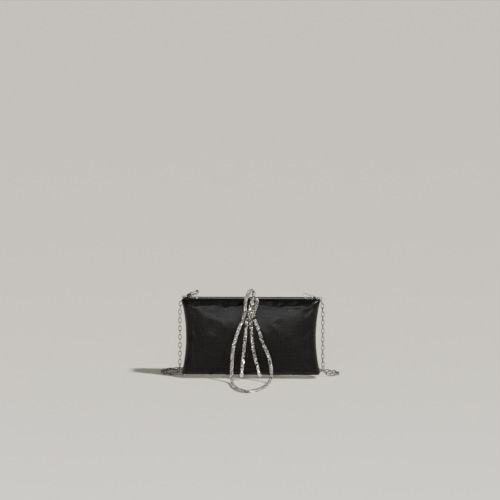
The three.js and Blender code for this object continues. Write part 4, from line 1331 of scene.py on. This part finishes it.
@dataclass
class Bow:
    """The wrist loop, two ears and two capped tails, gathered by a wrap of the same rope."""

    WRIST_LOOP: ClassVar = [
        [-8.5, -31.3, 96.2], [-10.3, -31.9, 88.7], [-15.7, -33.6, 76.5], [-21.2, -36.2, 60],
        [-24.6, -39.6, 45], [-26, -44.5, 28], [-25.8, -52, 11], [-24.9, -65, 3.8],
        [-22.8, -84, 2.55], [-17.6, -108, 2.55], [-10, -128, 2.55], [0.5, -138, 2.55],
        [11, -128, 2.55], [18.6, -110, 2.55], [24.4, -88, 2.55], [27.6, -68, 3.8],
        [30.6, -53, 11], [29.6, -46, 24], [25, -40.5, 40], [18.7, -37.3, 53], [12, -35, 74],
        [5.4, -33.4, 89.1]]
    TALL_EAR: ClassVar = [
        [-8.4, -31.2, 96.6], [-7.2, -30.8, 102], [-7.2, -30.4, 109], [-6.2, -30.2, 117],
        [-3.9, -29.9, 124], [-1.4, -29.8, 128.6], [2, -29.8, 130.2], [4.8, -29.9, 127.2],
        [4.6, -30.4, 121], [1.8, -31.2, 112.5], [-0.4, -32, 105], [-0.7, -32, 100.8]]
    SHORT_EAR: ClassVar = [
        [1.8, -26.4, 100.7], [2.8, -25.6, 107], [5, -25.2, 114], [8, -27, 118], [9.8, -30, 114.6],
        [8.6, -31.4, 107.5], [5.8, -31.2, 101]]
    LEFT_TAIL: ClassVar = [
        [-5, -27.8, 89.8], [-6.3, -28.6, 76], [-8.1, -29.1, 56], [-10.4, -29.5, 34],
        [-11.8, -29.9, 17.6]]
    RIGHT_TAIL: ClassVar = [
        [0.2, -26.9, 89.8], [1, -28.5, 76], [2.8, -29.1, 56], [6.4, -29.5, 34], [10.8, -29.9, 18]]

    def wrap(self) -> bpy.types.Object:
        """Two turns of rope side by side round the strands, over a plug that closes their middle."""
        low, high = node_box("bow_knot")
        middle, half = (low + high) / 2, (high - low) / 2
        reach = half[:2] - 2.45
        rope = StoneRope("bow_knot", [], 17)
        t = np.linspace(-0.04, 2.04, 180)
        rise = np.clip((t - 0.9) / 0.2, 0, 1)
        line = np.stack([
            middle[0] + reach[0] * np.cos(t * TURN + 1.2), middle[1] + reach[1] * np.sin(t * TURN + 1.2),
            low[2] + 2.4 + rise * (half[2] * 2 - 4.8)], axis=1)
        turns = rope.strand(Path(line, 0.6, normal=(0, 0, 1)))
        end, shoulder = half[2] - 0.8, half[2] - 1.4
        plug = lathe([(0.5, -end), (2.6, -shoulder), (2.6, shoulder), (0.5, end)])
        return Shape.join([turns, plug.moved(np.eye(3), middle)]).piece(
            "bow_wrap", Finish.CORE, Finish.CRYSTAL, crease=20)

    def cap(self, side: str, points: list[list[float]]) -> bpy.types.Object:
        """A turned metal cap with a collar, on the end of a tail."""
        run = unit(np.subtract(points[-1], points[-2]))
        x = unit(np.cross(run, [0, 1, 0]))
        profile = [(0.5, 0), (2.3, 0), (2.75, 0.3), (2.75, 1.5), (2.5, 1.8), (2.5, 2.3), (2.7, 2.6),
                   (2.75, 9.6), (2.6, 10.9), (2.2, 12.0), (1.4, 12.7), (0.4, 13.0)]
        start = np.array(points[-1]) + run * 0.3
        return lathe(profile).moved(np.stack([x, np.cross(run, x), run]), start).piece(
            f"{side}_cap", Finish.CHROME)

    def build(self) -> "Bow":
        """Makes the five strands, the wrap and the two caps."""
        self.loop = StoneRope("wrist_loop", self.WRIST_LOOP, 11, blend=True).build()
        self.ears = [StoneRope("bow_tall_ear", self.TALL_EAR, 12).build(),
                     StoneRope("bow_short_ear", self.SHORT_EAR, 13).build()]
        self.tails = {"left": StoneRope("bow_left_tail", self.LEFT_TAIL, 14).build(),
                      "right": StoneRope("bow_right_tail", self.RIGHT_TAIL, 15).build()}
        self.knot = self.wrap()
        self.caps = {"left": self.cap("left", self.LEFT_TAIL), "right": self.cap("right", self.RIGHT_TAIL)}
        return self

    def dress(self) -> None:
        """Joins the bow to the front half, but for the wrist loop, which is baked in place."""
        trims = ((self.knot, "bow_knot", "rope"), (self.caps["left"], "left_tail_cap", "chrome"),
                 (self.caps["right"], "right_tail_cap", "chrome"))
        for piece, node, slot in trims:
            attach(piece, Half.FRONT.body)
            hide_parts(node)
        self.loop.dress("object", [self.knot])
        for ear in self.ears:
            ear.dress("object")
        for side, tail in self.tails.items():
            tail.dress("fitting", [self.caps[side]])


# ---- Stage ----------------------------------------------------------------------------------


@dataclass
class Studio:
    """A pale floor and wall, a hard key from the front right, a low softbox, and the camera.

    The angles are degrees. The camera stands at a distance in metres from the front foot of the
    bag, on a line that rises by `rise` and is turned by `turn`, and looks along its own tilt.
    """

    sensor: float = 36.0
    lens: float = 165.24
    tilt: float = 6.31
    heading: float = 2.024965
    turn: float = 2.0
    rise: float = 9.48983
    distance: float = 3.319
    foot: float = -0.006

    def camera(self) -> None:
        """Stands the camera in front of the bag, a little to its right and above it."""
        camera = bpy.data.cameras.new("camera")
        camera.sensor_width = self.sensor
        camera.lens = self.lens
        obj = bpy.data.objects.new("camera", camera)
        bpy.context.scene.collection.objects.link(obj)
        rise, turn = math.radians(self.rise), math.radians(self.turn)
        level = self.distance * math.cos(rise)
        obj.location = (level * math.sin(turn), self.foot - level * math.cos(turn),
                        self.distance * math.sin(rise))
        obj.rotation_euler = (math.radians(90 - self.tilt), 0, math.radians(self.heading))
        bpy.context.scene.camera = obj

    def floor(self) -> None:
        """A wide floor, a hair under the bag."""
        a = np.arange(96) / 96 * TURN
        disc = 300000 * np.stack([np.cos(a), np.sin(a), -1e-6 + 0 * a], axis=1)
        shape = Shape(disc, [(np.arange(96)[None, :], 0)])
        self.ground = shape.piece("floor", Finish.FLOOR)

    def lamp(self, name: str, kind: str, place: Sequence[float], power: float,
             **settings: object) -> None:
        """A light that faces the bag, with the settings of its kind."""
        lamp = bpy.data.lights.new(name, kind)
        lamp.energy = power
        for key, value in settings.items():
            setattr(lamp, key, value)
        obj = bpy.data.objects.new(name, lamp)
        obj.location = place
        aim = Vector((0, 0, 0.06)) - obj.location
        obj.rotation_euler = aim.to_track_quat("-Z", "Y").to_euler()
        bpy.context.scene.collection.objects.link(obj)

    def sky(self) -> None:
        """A pale wall behind the bag, and darkness overhead and behind the camera."""
        world = bpy.data.worlds.new("sky")
        world.use_nodes = True
        tree = world.node_tree
        place = tree.nodes.new("ShaderNodeTexCoord")
        split = tree.nodes.new("ShaderNodeSeparateXYZ")
        darkest = tree.nodes.new("ShaderNodeMath")
        darkest.operation = "MAXIMUM"
        mix = tree.nodes.new("ShaderNodeMix")
        tree.links.new(place.outputs["Generated"], split.inputs[0])
        for index, (axis, pale, dark) in enumerate((("Z", 0.10, 0.45), ("Y", 0.30, -0.35))):
            fade = tree.nodes.new("ShaderNodeMapRange")
            fade.interpolation_type = "SMOOTHSTEP"
            fade.inputs["From Min"].default_value = pale
            fade.inputs["From Max"].default_value = dark
            tree.links.new(split.outputs[axis], fade.inputs["Value"])
            tree.links.new(fade.outputs[0], darkest.inputs[index])
        mix.data_type = "RGBA"
        mix.inputs[6].default_value = (0.60, 0.585, 0.545, 1)
        mix.inputs[7].default_value = (0.10, 0.098, 0.09, 1)
        tree.links.new(darkest.outputs[0], mix.inputs[0])
        tree.links.new(mix.outputs[2], tree.nodes["Background"].inputs["Color"])
        bpy.context.scene.world = world

    def build(self) -> None:
        """Sets the camera, the floor, the sky and the lights."""
        self.camera()
        self.floor()
        self.sky()
        self.lamp("key", "SUN", (0.7, -0.5, 1.06), 4.6, angle=math.radians(4.0), color=(1.0, 0.98, 0.95))
        self.lamp("front", "AREA", (0.0, -3.0, 0.85), 60, shape="RECTANGLE", size=2.0, size_y=0.6)


# ---- The whole bag --------------------------------------------------------------------------


def dress_hidden_nodes() -> None:
    """Gives the CAD nodes that stay in place their materials."""
    finishes = {
        Finish.CARD: ["front_shell", "rear_shell"],
        Finish.HINGE: ["front_hinge_leaf", "rear_hinge_leaf", "hinge_pin", "left_claw_spring",
                       "right_claw_spring"],
        Finish.CHROME: ["left_claw_pin", "right_claw_pin"],
    }
    for finish, names in finishes.items():
        for name in names:
            for slot in bpy.data.objects[name].material_slots:
                slot.material = finish.material()
            log.info("%s: CAD node, %s", name, finish.name.lower())


def main() -> None:
    """Builds the stage and the bag, piece by piece."""
    logging.basicConfig(level=logging.INFO, format="%(message)s")
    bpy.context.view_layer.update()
    Studio().build()
    ShoulderChain().build().dress()
    Bow().build().dress()
    shape = CaseShape.measured()
    for half in Half:
        FrameHoop(shape, half).build().dress()
        SatinPanel(shape, half).build().dress()
        LiningTray(shape, half).build().dress()
        name = f"{half.label}_clasp_post"
        RailPost(f"{half.label}_kiss_lock", half, half.value * 3.6).build().dress(name)
    SlipPocket().build().dress()
    for side, label in ((-1, "left"), (1, "right")):
        Gusset(side, f"{label}_gusset").build().dress()
        axis = ALONG_X if side < 0 else ALONG_Y
        place = side * (shape.width / 2 - shape.post_inset)
        post = RailPost(f"{label}_chain_eye", Half.REAR, place, eye_axis=axis)
        post.build().dress(f"{label}_chain_post")
        LobsterClaw(label).build().dress()
    dress_hidden_nodes()


if __name__ == "__main__":
    main()
